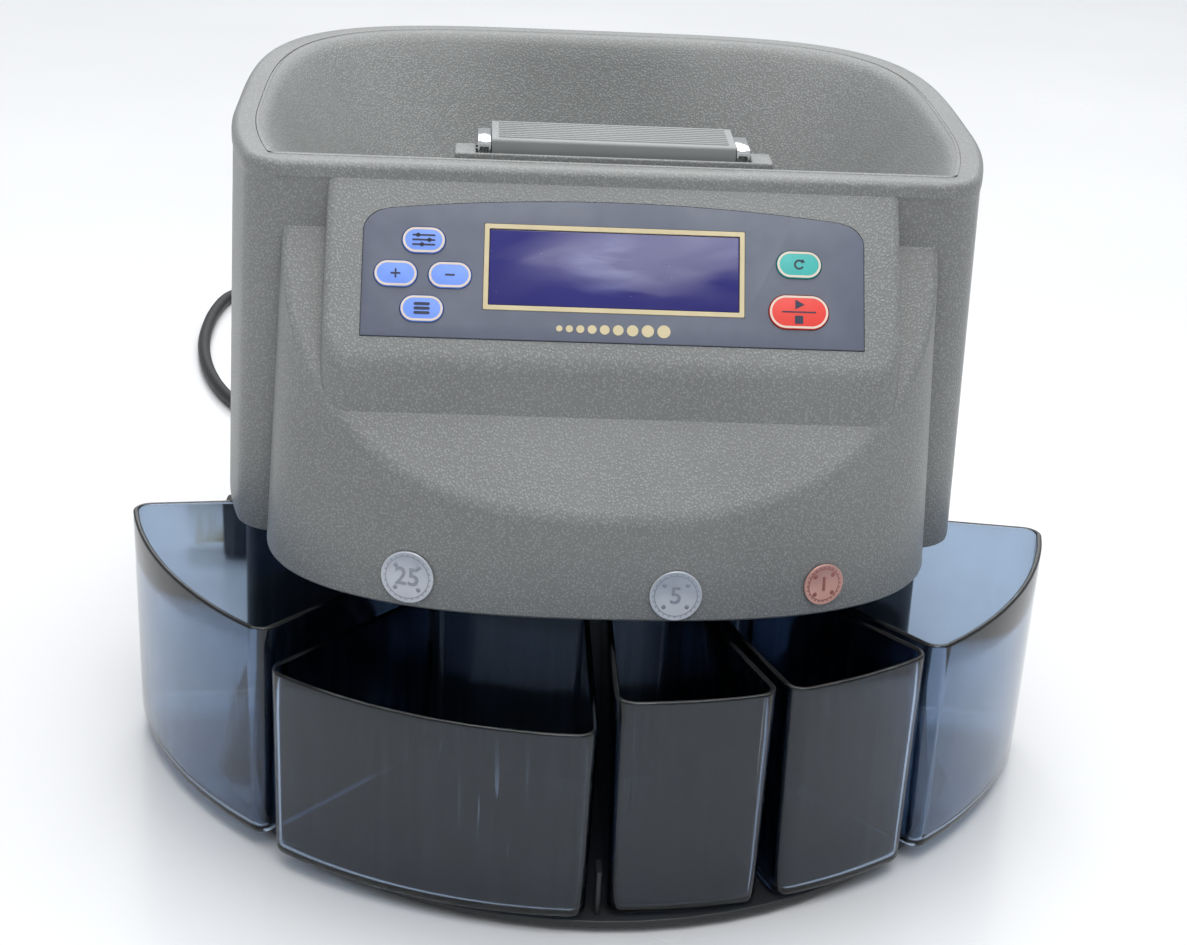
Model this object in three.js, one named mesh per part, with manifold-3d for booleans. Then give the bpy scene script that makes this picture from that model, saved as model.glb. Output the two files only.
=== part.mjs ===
// Desktop coin sorting machine: hopper on top, keypad and display on a sloping console, five bins in a
// fan under the housing. Millimetres, +Z up, the operator stands at -Y, the origin is on the table under
// the middle of the machine.
import * as THREE from 'three';
import { mergeVertices } from 'three/addons/utils/BufferGeometryUtils.js';
import Module from 'manifold-3d';

const wasm = await Module();
wasm.setup();

// ---------------------------------------------------------------- driving dimensions
const GAP = 0.3; // between pieces that touch
const RUNNING = 0.08; // radial play of a shaft in its bearing
const WALL = 3; // housing and chassis wall

const HOUSING = {
  bottom: 95, shoulder: 231, lip: 234.5, top: 240,
  halfWidth: 142.3, front: -49, back: 165, cornerRadius: 12, // at the bottom edge
  sideDraft: -0.018, frontDraft: 0.04, backDraft: 0.022, // growth per mm of height
};
const RIM = { halfWidth: 140.3, front: -55.6, back: 170.8, cornerRadius: 12 };
const BOW = 0.0024; // the sides draw in towards the front by this times the squared distance
const SEAM = { side: 9, front: 8.6, back: 9 }; // hopper insert edge, in from the rim
const LEDGE = 2.6;
const FLANGE_BOTTOM = 236.8;

const DRUM = { halfWidth: 123, depth: 71, centreY: -46, power: 2.5, draft: 0.05 };
const SCOOP = { y: -115.5, z: 132, slope: THREE.MathUtils.degToRad(53.7) };
const CONSOLE = {
  halfWidth: 100.7, front: -92.8, back: -53, cornerRadius: 9,
  lowerEdge: 179.7, slope: THREE.MathUtils.degToRad(55.8), skirt: 45, draft: 0.05,
};
const LABEL = { halfWidth: 87.7, bottom: 9.7, side: 48.2, crown: 60.3, thickness: 1.5, recess: 1.3 };
const SCREEN = { width: 91.2, height: 31, centre: 35.7, border: 1.7 };
const LEFT_KEYS = -66.7; // middle of the four small keys
const RIGHT_KEYS = 64.7;
const KEYS = [
  { name: 'key_menu', x: LEFT_KEYS, s: 44.3, width: 15, height: 9.4, color: 0x78a0fa },
  { name: 'key_plus', x: LEFT_KEYS - 9.4, s: 32, width: 15, height: 9.4, color: 0x78a0fa },
  { name: 'key_minus', x: LEFT_KEYS + 9.4, s: 32, width: 15, height: 9.4, color: 0x78a0fa },
  { name: 'key_batch', x: LEFT_KEYS, s: 19.7, width: 15, height: 9.4, color: 0x78a0fa },
  { name: 'key_clear', x: RIGHT_KEYS, s: 39.9, width: 15.8, height: 9.8, color: 0x46b9af },
  { name: 'key_start_stop', x: RIGHT_KEYS, s: 22.7, width: 21, height: 12.2, color: 0xeb3c32 },
];
const KEY_PROUD = 0.8;
const KEY_STEM = 3.4; // how far a key reaches behind the label face

const FAN = { x: 0, y: 12 }; // axis of the bins and of the sorting disc
const BIN = { outer: 180, inner: 88, bottom: 5.5, top: 90, wall: 2.2, gap: 1.7, draft: 0.018, corner: 7 };
const BINS = [
  { name: 'bin_far_left', from: -82, to: -41, top: BIN.top, out: 0 },
  { name: 'bin_front_left', from: -41, to: 0, top: 79, out: 3.5 },
  { name: 'bin_centre', from: 0, to: 19.8, top: BIN.top, out: 0 },
  { name: 'bin_right_centre', from: 19.8, to: 40.6, top: BIN.top, out: 0 },
  { name: 'bin_far_right', from: 40.6, to: 82, top: BIN.top, out: 0 },
];
const COIN_SLOTS = [ // middle angle of each coin slot and the coin diameter that it lets through
  { angle: -61.5, coin: 26.5 },
  { angle: -20.5, coin: 24.3 },
  { angle: 9.9, coin: 21.2 },
  { angle: 30.2, coin: 19.1 },
  { angle: 61.3, coin: 17.9 },
];

const PLATE = { bottom: 2.5, top: 5, frontRadius: 147, frontCentreY: -22, halfWidth: 140, back: 134 };
const CHASSIS = {
  bottom: PLATE.top + GAP, top: HOUSING.bottom - GAP, halfWidth: 138, front: 20, back: 126, column: 84,
};
const COVER = { width: 150, height: 76, thickness: 2.5, centreZ: 50 };

const DECK = { bottom: 104, top: 107, hole: 83.5, slotInner: 86 };
const RING = { bottom: 107.4, top: 112.4, inner: 84.5, outer: 112 };
const RING_COVER = { bottom: 112.8, top: 114.8, inner: 61 };
const DISC = { radius: 82.8, bottom: 104.4, top: 107.2 };
const THROAT = { radius: 60, y: 18, bottom: 115.1, wall: 2.5 };
const WAIST = { z: 160, y: 43, halfX: 74, halfY: 79 };
const MOUTH = { z: 238, side: 4.5, front: 5, back: 9 }; // in from the seam

const GEAR = { module: 1.5, teeth: 48, bottom: 62, top: 69 };
const PINION_TEETH = 12;
const MOTOR_Y = FAN.y + GEAR.module * (GEAR.teeth + PINION_TEETH) / 2 + 0.6;

const HANDLE = {
  halfWidth: 43.8, endWidth: 5, front: -36, pivotY: -30, pivotZ: 238.2, depth: 27, top: 245, thick: 8,
};

const CORD_DIAMETER = 6.8;
const CORD_EXIT = new THREE.Vector3(20, 160, 46);
const COIL = { x: -70, y: 420, inner: 27, outer: 47.4, layers: 2 };
const PLUG = { x: -158, y: 137, z: 12.8, length: 30, relief: 20, pitch: 12.7 };

// ---------------------------------------------------------------- materials
const paint = (color, roughness, metalness = 0) =>
  new THREE.MeshStandardMaterial({ color, roughness, metalness });
const GREY = paint(0x7d807e, 0.6);
const CHARCOAL = paint(0x2a2b2d, 0.6);
const SMOKE_BLUE = paint(0x3c4a66, 0.12);
const STEEL = paint(0xb4b6b8, 0.35, 1);
const CHROME = paint(0xdfe1e3, 0.08, 1);
const BRASS = paint(0xc9a24e, 0.35, 1);
const RUBBER = paint(0x141414, 0.85);
const BOARD = paint(0x1d5a38, 0.5);

// ---------------------------------------------------------------- solids
const object = new THREE.Group();

function add(name, geometry, material, parent = object) {
  const mesh = new THREE.Mesh(geometry, material);
  mesh.name = name;
  parent.add(mesh);
  return mesh;
}

function welded(geometry) {
  const plain = geometry.index ? geometry.toNonIndexed() : geometry.clone();
  plain.deleteAttribute('normal');
  plain.deleteAttribute('uv');
  return mergeVertices(plain, 1e-4);
}

function toSolid(geometry) {
  const g = welded(geometry);
  return new wasm.Manifold(new wasm.Mesh({
    numProp: 3,
    vertProperties: new Float32Array(g.attributes.position.array),
    triVerts: new Uint32Array(g.index.array),
  }));
}

function toGeometry(solid) {
  const mesh = solid.getMesh();
  const geometry = new THREE.BufferGeometry();
  geometry.setAttribute('position', new THREE.BufferAttribute(new Float32Array(mesh.vertProperties), 3));
  geometry.setIndex(new THREE.BufferAttribute(new Uint32Array(mesh.triVerts), 1));
  geometry.computeVertexNormals();
  return geometry;
}

const join = (first, ...rest) => toGeometry(rest.reduce((all, g) => all.add(toSolid(g)), toSolid(first)));
const cut = (first, ...rest) => toGeometry(rest.reduce((all, g) => all.subtract(toSolid(g)), toSolid(first)));

// Skin over a stack of rings with the same number of points, capped at both ends or closed on itself.
function loft(rings, { closed = false } = {}) {
  const count = rings[0].length;
  const positions = rings.flat(2);
  const faces = [];
  const last = closed ? rings.length : rings.length - 1;
  for (let r = 0; r < last; r += 1) {
    const low = r * count;
    const high = ((r + 1) % rings.length) * count;
    for (let i = 0; i < count; i += 1) {
      const j = (i + 1) % count;
      faces.push(low + i, low + j, high + j, low + i, high + j, high + i);
    }
  }
  if (!closed) {
    for (const [ring, flip] of [[0, true], [rings.length - 1, false]]) {
      const centre = positions.length / 3;
      const sum = rings[ring].reduce((a, p) => [a[0] + p[0], a[1] + p[1], a[2] + p[2]], [0, 0, 0]);
      positions.push(sum[0] / count, sum[1] / count, sum[2] / count);
      for (let i = 0; i < count; i += 1) {
        const a = ring * count + i;
        const b = ring * count + ((i + 1) % count);
        faces.push(...(flip ? [b, a, centre] : [a, b, centre]));
      }
    }
  }
  const geometry = new THREE.BufferGeometry();
  geometry.setAttribute('position', new THREE.Float32BufferAttribute(positions, 3));
  geometry.setIndex(faces);
  geometry.computeVertexNormals();
  return geometry;
}

const level = (outline, z) => outline.map(([x, y]) => [x, y, z]);
const prism = (outline, bottom, top) => loft([level(outline, bottom), level(outline, top)]);
const translated = (geometry, x, y, z) => geometry.clone().translate(x, y, z);

function box(x0, x1, y0, y1, z0, z1) {
  return new THREE.BoxGeometry(x1 - x0, y1 - y0, z1 - z0)
    .translate((x0 + x1) / 2, (y0 + y1) / 2, (z0 + z1) / 2);
}

// Upright cylinder, or lying along Y or X.
function rod(radius, from, to, { x = 0, y = 0, axis = 'z', sides = 24 } = {}) {
  const geometry = new THREE.CylinderGeometry(radius, radius, to - from, sides);
  geometry.rotateX(Math.PI / 2).translate(0, 0, (from + to) / 2);
  if (axis === 'y') geometry.rotateX(-Math.PI / 2);
  if (axis === 'x') geometry.rotateY(Math.PI / 2);
  return geometry.translate(x, y, 0);
}

// Turned about Z from [radius, z] corners that run round the section, closed on itself.
function turned(corners, { x = FAN.x, y = FAN.y, sides = 48 } = {}) {
  const points = [...corners, corners[0]].map(([r, z]) => new THREE.Vector2(r, z));
  return new THREE.LatheGeometry(points, sides).rotateX(Math.PI / 2).translate(x, y, 0);
}

const ring = (inner, outer, bottom, top, place) =>
  turned([[inner, bottom], [outer, bottom], [outer, top], [inner, top]], place);

function circle(radius, cx, cy, sides) {
  return Array.from({ length: sides }, (_, i) => {
    const a = i / sides * 2 * Math.PI;
    return [cx + radius * Math.cos(a), cy + radius * Math.sin(a)];
  });
}

// Polygon with its corners rounded; corners turn counter-clockwise.
function rounded(corners, radii, steps = 3) {
  return corners.flatMap(([x, y], i) => {
    const r = Array.isArray(radii) ? radii[i] : radii;
    if (!r) return [[x, y]];
    const corner = new THREE.Vector2(x, y);
    const before = new THREE.Vector2(...corners[(i + corners.length - 1) % corners.length]).sub(corner);
    const after = new THREE.Vector2(...corners[(i + 1) % corners.length]).sub(corner);
    const half = Math.acos(before.dot(after) / before.length() / after.length()) / 2;
    const reach = r / Math.tan(half);
    const start = corner.clone().addScaledVector(before.normalize(), reach);
    const end = corner.clone().addScaledVector(after.normalize(), reach);
    const middle = corner.clone().addScaledVector(before.clone().add(after).normalize(), r / Math.sin(half));
    const first = Math.atan2(start.y - middle.y, start.x - middle.x);
    let sweep = Math.atan2(end.y - middle.y, end.x - middle.x) - first;
    sweep -= 2 * Math.PI * Math.round(sweep / 2 / Math.PI);
    return Array.from({ length: steps + 1 }, (_, k) => {
      const a = first + sweep * k / steps;
      return [middle.x + r * Math.cos(a), middle.y + r * Math.sin(a)];
    });
  });
}

function roundedBox(width, height, radius, steps = 5) {
  const [w, h] = [width / 2, height / 2];
  return rounded([[-w, -h], [w, -h], [w, h], [-w, h]], radius, steps);
}

const lerp = THREE.MathUtils.lerp;

// ---------------------------------------------------------------- housing outlines
// Plan of the machine: straight front with round corners, bowed sides and back. Counter-clockwise from the
// front left.
function planOutline({ halfWidth, front, back, cornerRadius }, frontSteps = 1) {
  const arcSteps = 4;
  const backSteps = 28;
  const flank = 16; // where the bowed back begins
  const corner = (side, from) => Array.from({ length: arcSteps + 1 }, (_, i) => {
    const a = from + i / arcSteps * Math.PI / 2;
    return [
      side * (halfWidth - cornerRadius) + cornerRadius * Math.cos(a),
      front + cornerRadius + cornerRadius * Math.sin(a),
    ];
  });
  const bow = Array.from({ length: backSteps + 1 }, (_, i) => {
    const a = i / backSteps * Math.PI;
    return [
      halfWidth * Math.sign(Math.cos(a)) * Math.abs(Math.cos(a)) ** 0.5,
      flank + (back - flank) * Math.sin(a) ** 0.5,
    ];
  });
  const reach = halfWidth - cornerRadius;
  const middle = Array.from({ length: frontSteps - 1 }, (_, i) =>
    [lerp(-reach, reach, (i + 1) / frontSteps), front]);
  const flankSteps = 3;
  const side = (x) => Array.from({ length: flankSteps }, (_, i) =>
    [x, lerp(front + cornerRadius, flank, (i + 1) / (flankSteps + 1))]);
  const whole = [
    ...corner(-1, Math.PI), ...middle, ...corner(1, 1.5 * Math.PI), ...side(halfWidth),
    ...bow, ...side(-halfWidth).reverse(),
  ];
  return whole.map(([x, y]) => [x * (1 - BOW * Math.max(flank - y, 0) ** 2 / halfWidth), y]);
}

function inset(plan, side, front = side, back = side) {
  return {
    halfWidth: plan.halfWidth - side,
    front: plan.front + front,
    back: plan.back - back,
    cornerRadius: Math.max(plan.cornerRadius - side, 2),
  };
}

function wallPlan(z) {
  const rise = z - HOUSING.bottom;
  return {
    halfWidth: HOUSING.halfWidth + HOUSING.sideDraft * rise,
    front: HOUSING.front - HOUSING.frontDraft * rise,
    back: HOUSING.back + HOUSING.backDraft * rise,
    cornerRadius: lerp(HOUSING.cornerRadius, RIM.cornerRadius, rise / (HOUSING.lip - HOUSING.bottom)),
  };
}

const seamPlan = inset(RIM, SEAM.side, SEAM.front, SEAM.back);

function towerOuter() {
  const rings = [HOUSING.bottom, HOUSING.shoulder].map((z) => level(planOutline(wallPlan(z)), z));
  const rimRings = [[HOUSING.lip, 0], [236.6, 0], [238.8, 1], [HOUSING.top, 3.4]];
  rings.push(...rimRings.map(([z, step]) => level(planOutline(inset(RIM, step)), z)));
  return loft(rings);
}

function towerInner() {
  const heights = [HOUSING.bottom - 1, HOUSING.shoulder];
  return loft(heights.map((z) => level(planOutline(inset(wallPlan(z), WALL)), z)));
}

// Bulging front wall. A point's height follows from the scoop plane for the sloping top.
function drumOutline(heightAt, shrink) {
  const steps = 40;
  const front = Array.from({ length: steps + 1 }, (_, i) => {
    const a = Math.PI + i / steps * Math.PI;
    const cosine = Math.sign(Math.cos(a)) * Math.abs(Math.cos(a)) ** (2 / DRUM.power);
    const sine = Math.abs(Math.sin(a)) ** (2 / DRUM.power);
    let z = SCOOP.z;
    let point;
    for (let pass = 0; pass < 6; pass += 1) {
      const less = shrink + DRUM.draft * (z - HOUSING.bottom);
      point = [(DRUM.halfWidth - less) * cosine, DRUM.centreY - (DRUM.depth - less) * sine];
      z = heightAt(point[1]);
    }
    return [...point, z];
  });
  const back = 8; // reach into the tower
  const [first, end] = [front[0], front[front.length - 1]];
  return [...front, ...[end, first].map(([x, y]) => [x, y + back, heightAt(y + back)])];
}

const scoopHeight = (y) => SCOOP.z + Math.tan(SCOOP.slope) * (y - SCOOP.y);

function drum(bottom, wall) {
  const drop = wall / Math.cos(SCOOP.slope);
  const edge = wall ? [[0, 0]] : [[3, 0], [0.9, 0.7], [0, 2.2]];
  return loft([
    drumOutline(() => bottom, wall),
    ...edge.map(([down, less]) => drumOutline((y) => scoopHeight(y) - drop - down, wall + less)),
  ]);
}

// Raised console on the scoop plane.
const consoleHeight = (y) => CONSOLE.lowerEdge + Math.tan(CONSOLE.slope) * (y - CONSOLE.front);

function consoleRing(down, less, back = CONSOLE.back) {
  const half = CONSOLE.halfWidth - less;
  const front = CONSOLE.front + less;
  const radius = Math.max(CONSOLE.cornerRadius - less, 2);
  const corners = [[-half, back], [-half, front], [half, front], [half, back]];
  return rounded(corners, [0, radius, radius, 0], 6).map(([x, y]) => [x, y, consoleHeight(y) - down]);
}

const skirtLess = -CONSOLE.draft * CONSOLE.skirt;

function consoleOuter() {
  const edge = [[4, 0], [1.2, 0.9], [0, 2.8]];
  return loft([
    consoleRing(CONSOLE.skirt, skirtLess), ...edge.map(([down, less]) => consoleRing(down, less)),
  ]);
}

function consoleInner() {
  const back = CONSOLE.back + 7; // opens the tower wall behind the console
  const drop = WALL / Math.cos(CONSOLE.slope);
  const space = loft([consoleRing(CONSOLE.skirt, WALL + skirtLess, back), consoleRing(drop, WALL, back)]);
  return cut(space, box(-150, 150, -100, 0, HOUSING.shoulder - 2, HOUSING.top + 20));
}

// Console face frame: x across, y up the face from its lower edge, z out of it.
function onConsole(geometry, x = 0, s = 0, out = 0) {
  return geometry.clone().translate(x, s, out).rotateX(CONSOLE.slope)
    .translate(0, CONSOLE.front, CONSOLE.lowerEdge);
}

function labelOutline(less) {
  const side = LABEL.halfWidth - less;
  const crownSteps = 14;
  const edge = 79; // where the crown meets the round top corners
  const crown = Array.from({ length: crownSteps + 1 }, (_, i) => {
    const x = edge * (1 - 2 * i / crownSteps);
    return [x, LABEL.crown - less - 4.6 * (x / edge) ** 2];
  });
  return [
    [-side, LABEL.bottom + less], [side, LABEL.bottom + less], [side, LABEL.side], [side - 2.2, 52.6 - less],
    ...crown, [-side + 2.2, 52.6 - less], [-side, LABEL.side],
  ];
}

// ---------------------------------------------------------------- housing
function housing() {
  const keyHoles = KEYS.map((key) => onConsole(
    prism(roundedBox(key.width + 1, key.height + 1, key.height / 2, 4), -8, 3), key.x, key.s));
  const screenHole = onConsole(
    prism(roundedBox(SCREEN.width - 6, SCREEN.height - 6, 0), -8, 3), 0, SCREEN.centre);
  const labelRecess = onConsole(prism(labelOutline(-GAP), -LABEL.recess, 3));
  const shell = join(towerOuter(), drum(HOUSING.bottom, 0), consoleOuter());
  const seamPocket = prism(planOutline(seamPlan), FLANGE_BOTTOM - GAP, HOUSING.top + 1);
  const funnelHole = prism(planOutline(inset(seamPlan, LEDGE)), HOUSING.shoulder - 1, HOUSING.top);
  return cut(shell, towerInner(), drum(HOUSING.bottom - 1, WALL), consoleInner(),
    seamPocket, funnelHole, labelRecess, screenHole, ...keyHoles);
}
add('upper_housing', housing(), GREY);

// ---------------------------------------------------------------- hopper insert
// Straight walls run from the D-shaped mouth down to a waist, then in to the round throat.
function hopper() {
  const mouth = inset(seamPlan, MOUTH.side, MOUTH.front, MOUTH.back);
  const frontSteps = 8;
  const plan = (shape) => planOutline(shape, frontSteps);
  const mouthPoints = plan(mouth);
  const mouthY = (mouth.front + mouth.back) / 2;
  const funnel = (z, wall) => {
    const toWaist = Math.min((MOUTH.z - z) / (MOUTH.z - WAIST.z), 1);
    const toThroat = Math.max((WAIST.z - z) / (WAIST.z - THROAT.bottom), 0);
    const centre = lerp(WAIST.y, THROAT.y, toThroat);
    const halfX = lerp(WAIST.halfX, THROAT.radius, toThroat) + wall;
    const halfY = lerp(WAIST.halfY, THROAT.radius, toThroat) + wall;
    return mouthPoints.map(([x, y]) => {
      const a = Math.atan2(y - mouthY, x);
      const grow = 1 + wall / Math.hypot(x, y - mouthY);
      return [
        lerp(x * grow, halfX * Math.cos(a), toWaist),
        lerp(mouthY + (y - mouthY) * grow, centre + halfY * Math.sin(a), toWaist),
        z,
      ];
    });
  };
  const heights = [THROAT.bottom, 138, WAIST.z, 185, 210, 230];
  const under = heights.map((z) => funnel(z, THROAT.wall));
  const inside = heights.map((z) => funnel(z, 0)).reverse();
  const neck = plan(inset(seamPlan, LEDGE + 0.4));
  const flange = plan(inset(seamPlan, 0.4));
  const lip = plan(inset(seamPlan, MOUTH.side - 2, MOUTH.front - 2, MOUTH.back - 2));
  return loft([
    ...under,
    level(neck, 234.4), level(neck, FLANGE_BOTTOM), level(flange, FLANGE_BOTTOM),
    level(flange, HOUSING.top), level(lip, HOUSING.top), funnel(MOUTH.z, 0),
    ...inside,
  ], { closed: true });
}
add('hopper_insert', hopper(), GREY);

// ---------------------------------------------------------------- carrying handle
const TRAY = { halfWidth: 57, front: -40.6, seat: -25.6, back: -5, top: 240.8 };

function trayProfile() {
  const section = [
    [TRAY.front, 226], [TRAY.back, 224], [TRAY.back, 230], [TRAY.seat, TRAY.top - 0.8],
    [TRAY.seat - 2, TRAY.top], [TRAY.front, TRAY.top],
  ];
  const at = (x) => section.map(([y, z]) => [x, y, z]);
  return loft([at(-TRAY.halfWidth), at(TRAY.halfWidth)]);
}

function handleTray() {
  const half = HANDLE.halfWidth + HANDLE.endWidth + 0.6;
  const pocket = box(-half, half, TRAY.front + 1.6, TRAY.back + 1, 230.2, TRAY.top + 5);
  const pins = rod(1.9, -TRAY.halfWidth + 3, TRAY.halfWidth - 3,
    { axis: 'x', sides: 16 }).translate(0, HANDLE.pivotY, HANDLE.pivotZ);
  return cut(trayProfile(), pocket, pins);
}

function hopperNotch() {
  return box(-TRAY.halfWidth - GAP, TRAY.halfWidth + GAP, TRAY.front - GAP, TRAY.back + 1,
    223, HOUSING.top + 3);
}

const tray = handleTray();
add('handle_tray', tray, GREY);
object.getObjectByName('hopper_insert').geometry = cut(
  object.getObjectByName('hopper_insert').geometry, hopperNotch());

function handleGrip() {
  const { front, depth, top, thick, halfWidth } = HANDLE;
  const section = rounded([
    [front, top - thick], [front + depth, top - thick + 1], [front + depth, top], [front, top],
  ], 2, 2);
  const at = (x) => section.map(([y, z]) => [x, y, z]);
  const ribs = Array.from({ length: 6 }, (_, i) => box(
    -halfWidth + 3, halfWidth - 3, front + 4 + i * 3.6, front + 5.6 + i * 3.6, top - 1, top + 0.5));
  return join(loft([at(-halfWidth), at(halfWidth)]), ...ribs);
}
add('handle_grip', handleGrip(), paint(0x9a9c9c, 0.5));

for (const [name, side] of [['handle_end_left', -1], ['handle_end_right', 1]]) {
  const inner = HANDLE.halfWidth + GAP;
  const outer = HANDLE.halfWidth + HANDLE.endWidth;
  const [x0, x1] = side < 0 ? [-outer, -inner] : [inner, outer];
  const { front, pivotY, pivotZ, top } = HANDLE;
  const low = top - 10.4;
  const section = rounded([
    [front, low], [front + 18, low], [front + 18, top - 0.6], [front, top - 0.6],
  ], 1.6, 2);
  const at = (x) => section.map(([y, z]) => [x, y, z]);
  const stub = side < 0 ? [-outer - 3.6, -outer + 1] : [outer - 1, outer + 3.6];
  const pin = rod(1.8, stub[0], stub[1], { axis: 'x', sides: 16 }).translate(0, pivotY, pivotZ);
  add(name, join(loft([at(x0), at(x1)]), pin), CHROME);
}

// ---------------------------------------------------------------- console pieces
function labelPlate() {
  const keyHoles = KEYS.map((key) => translated(
    prism(roundedBox(key.width + 0.6, key.height + 0.6, key.height / 2, 4), -3, 3), key.x, key.s, 0));
  const screenHole = translated(
    prism(roundedBox(SCREEN.width + 2 * GAP, SCREEN.height + 2 * GAP, 0), -3, 3), 0, SCREEN.centre, 0);
  const bottom = GAP - LABEL.recess;
  return onConsole(cut(prism(labelOutline(0), bottom, bottom + LABEL.thickness), screenHole, ...keyHoles));
}
const LABEL_FACE = GAP - LABEL.recess + LABEL.thickness;
add('label_plate', labelPlate(), paint(0x5f6776, 0.45));

const bezelOuter = roundedBox(SCREEN.width, SCREEN.height, 0.5, 1);
const bezelInner = roundedBox(SCREEN.width - 2 * SCREEN.border, SCREEN.height - 2 * SCREEN.border, 0);
const windowBottom = GAP - LABEL.recess;
add('display_bezel', onConsole(
  cut(prism(bezelOuter, windowBottom, LABEL_FACE + 0.2), prism(bezelInner, -4, 4)),
  0, SCREEN.centre), paint(0xd7c8a0, 0.4));
add('display_window', onConsole(prism(roundedBox(
  SCREEN.width - 2 * SCREEN.border - 2 * GAP, SCREEN.height - 2 * SCREEN.border - 2 * GAP, 0),
windowBottom, LABEL_FACE - 0.3), 0, SCREEN.centre), paint(0x28267d, 0.1));
add('display_module', onConsole(
  box(-44, 44, -16, 16, -9.5, -3.6), 0, SCREEN.centre), paint(0x20242a, 0.5));
add('keypad_board', onConsole(cut(
  box(-88, 88, 12, 54, -12.2, -10.6), rod(1.6, -14, -8, { x: -84, y: 16, sides: 12 }),
  rod(1.6, -14, -8, { x: 84, y: 16, sides: 12 }))), BOARD);

for (const key of KEYS) {
  const radius = key.height / 2;
  const cap = prism(roundedBox(key.width, key.height, radius, 5), -KEY_STEM, LABEL_FACE + KEY_PROUD);
  const stem = prism(roundedBox(key.width - 5, key.height - 4, 1, 1), -9.6, -KEY_STEM + 0.5);
  add(key.name, onConsole(join(cap, stem), key.x, key.s), paint(key.color, 0.35));
}

// ---------------------------------------------------------------- coin tokens on the bulging wall
const TOKENS = [
  { name: 'token_25', x: -69, z: 106.5, radius: 9.6, color: 0xc9ccd0 },
  { name: 'token_5', x: 24.7, z: 105.2, radius: 9.3, color: 0xc9ccd0 },
  { name: 'token_1', x: 77.7, z: 106.6, radius: 7.7, color: 0xb97a6a },
];

for (const token of TOKENS) {
  const less = DRUM.draft * (token.z - HOUSING.bottom);
  const width = DRUM.halfWidth - less;
  const depth = DRUM.depth - less;
  const share = Math.abs(token.x / width) ** DRUM.power;
  const y = DRUM.centreY - depth * (1 - share) ** (1 / DRUM.power);
  const slopeX = share / Math.abs(token.x);
  const slopeY = (1 - share) / Math.abs(y - DRUM.centreY);
  const turn = Math.atan2(Math.sign(token.x) * slopeX, slopeY);
  const out = 0.75;
  const disc = new THREE.CylinderGeometry(token.radius, token.radius, 0.5, 32);
  disc.rotateX(-Math.atan(DRUM.draft)).rotateZ(turn)
    .translate(token.x + out * Math.sin(turn), y - out * Math.cos(turn), token.z);
  add(token.name, disc, paint(token.color, 0.4, 0.4));
}

// ---------------------------------------------------------------- bins
const radians = THREE.MathUtils.degToRad;
const around = (angle, radius, cx = FAN.x, cy = FAN.y) =>
  [cx + radius * Math.sin(radians(angle)), cy - radius * Math.cos(radians(angle))];

// Sector of the fan between two angles from straight ahead, its sides moved in by the gap.
function sector(bin, less) {
  const arcSteps = bin.to - bin.from > 30 ? 7 : 4;
  const side = BIN.gap + less;
  const outer = BIN.outer - less;
  const inner = BIN.inner + less;
  const edge = (angle, radius, sign) => {
    const along = Math.sqrt(radius ** 2 - side ** 2);
    const shift = sign * THREE.MathUtils.radToDeg(Math.atan2(side, along));
    return angle + shift;
  };
  const sweep = (radius, from, to) => Array.from({ length: arcSteps + 1 }, (_, i) => {
    const low = edge(bin.from, radius, 1);
    const high = edge(bin.to, radius, -1);
    return around(lerp(low, high, lerp(from, to, i / arcSteps)), radius);
  });
  const corners = [...sweep(outer, 0, 1), ...sweep(inner, 1, 0)];
  const soft = Math.max(BIN.corner - less, 2);
  const radii = corners.map((_, i) => {
    if (i === 0 || i === arcSteps) return soft;
    return i === arcSteps + 1 || i === corners.length - 1 ? 2.5 : 0;
  });
  return rounded(corners, radii, 3);
}

function binShell(bin) {
  const drafted = (z) => BIN.draft * (bin.top - z);
  const outside = [[0, 3], [1.2, 1], [3.6, 0]].map(([up, less]) =>
    level(sector(bin, less + drafted(BIN.bottom + up)), BIN.bottom + up));
  const inside = [bin.top, BIN.bottom + 5, BIN.bottom + 2.4].map((z, i) =>
    level(sector(bin, BIN.wall + drafted(z) + (i === 2 ? 1.6 : 0)), z));
  const middle = (bin.from + bin.to) / 2;
  const [dx, dy] = around(middle, bin.out, 0, 0);
  return loft([...outside, level(sector(bin, 0), bin.top), ...inside]).translate(dx, dy, 0);
}

for (const bin of BINS) add(bin.name, binShell(bin), SMOKE_BLUE);

// ---------------------------------------------------------------- base plate, feet and chassis
function plateOutline(less) {
  const radius = PLATE.frontRadius - less;
  const half = PLATE.halfWidth - less;
  const back = PLATE.back - less;
  const reach = THREE.MathUtils.radToDeg(Math.asin(half / radius));
  const steps = 24;
  const arc = Array.from({ length: steps + 1 }, (_, i) =>
    around(lerp(-reach, reach, i / steps), radius, 0, PLATE.frontCentreY));
  return rounded([...arc, [half, back], [-half, back]],
    [...arc.map(() => 0), 26, 26], 4);
}
add('base_plate', prism(plateOutline(0), PLATE.bottom, PLATE.top), CHARCOAL);

const FEET = [
  ['foot_front_left', -70, -118], ['foot_front_right', 70, -118],
  ['foot_rear_left', -100, 112], ['foot_rear_right', 100, 112],
];
for (const [name, x, y] of FEET) add(name, rod(9, 0, PLATE.bottom - GAP, { x, y }), RUBBER);

add('bin_post', prism(roundedBox(1.9, 9, 0.8, 2), PLATE.top + GAP, 22).translate(0, -160.5, 0),
  paint(0x6f7274, 0.5));

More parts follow.
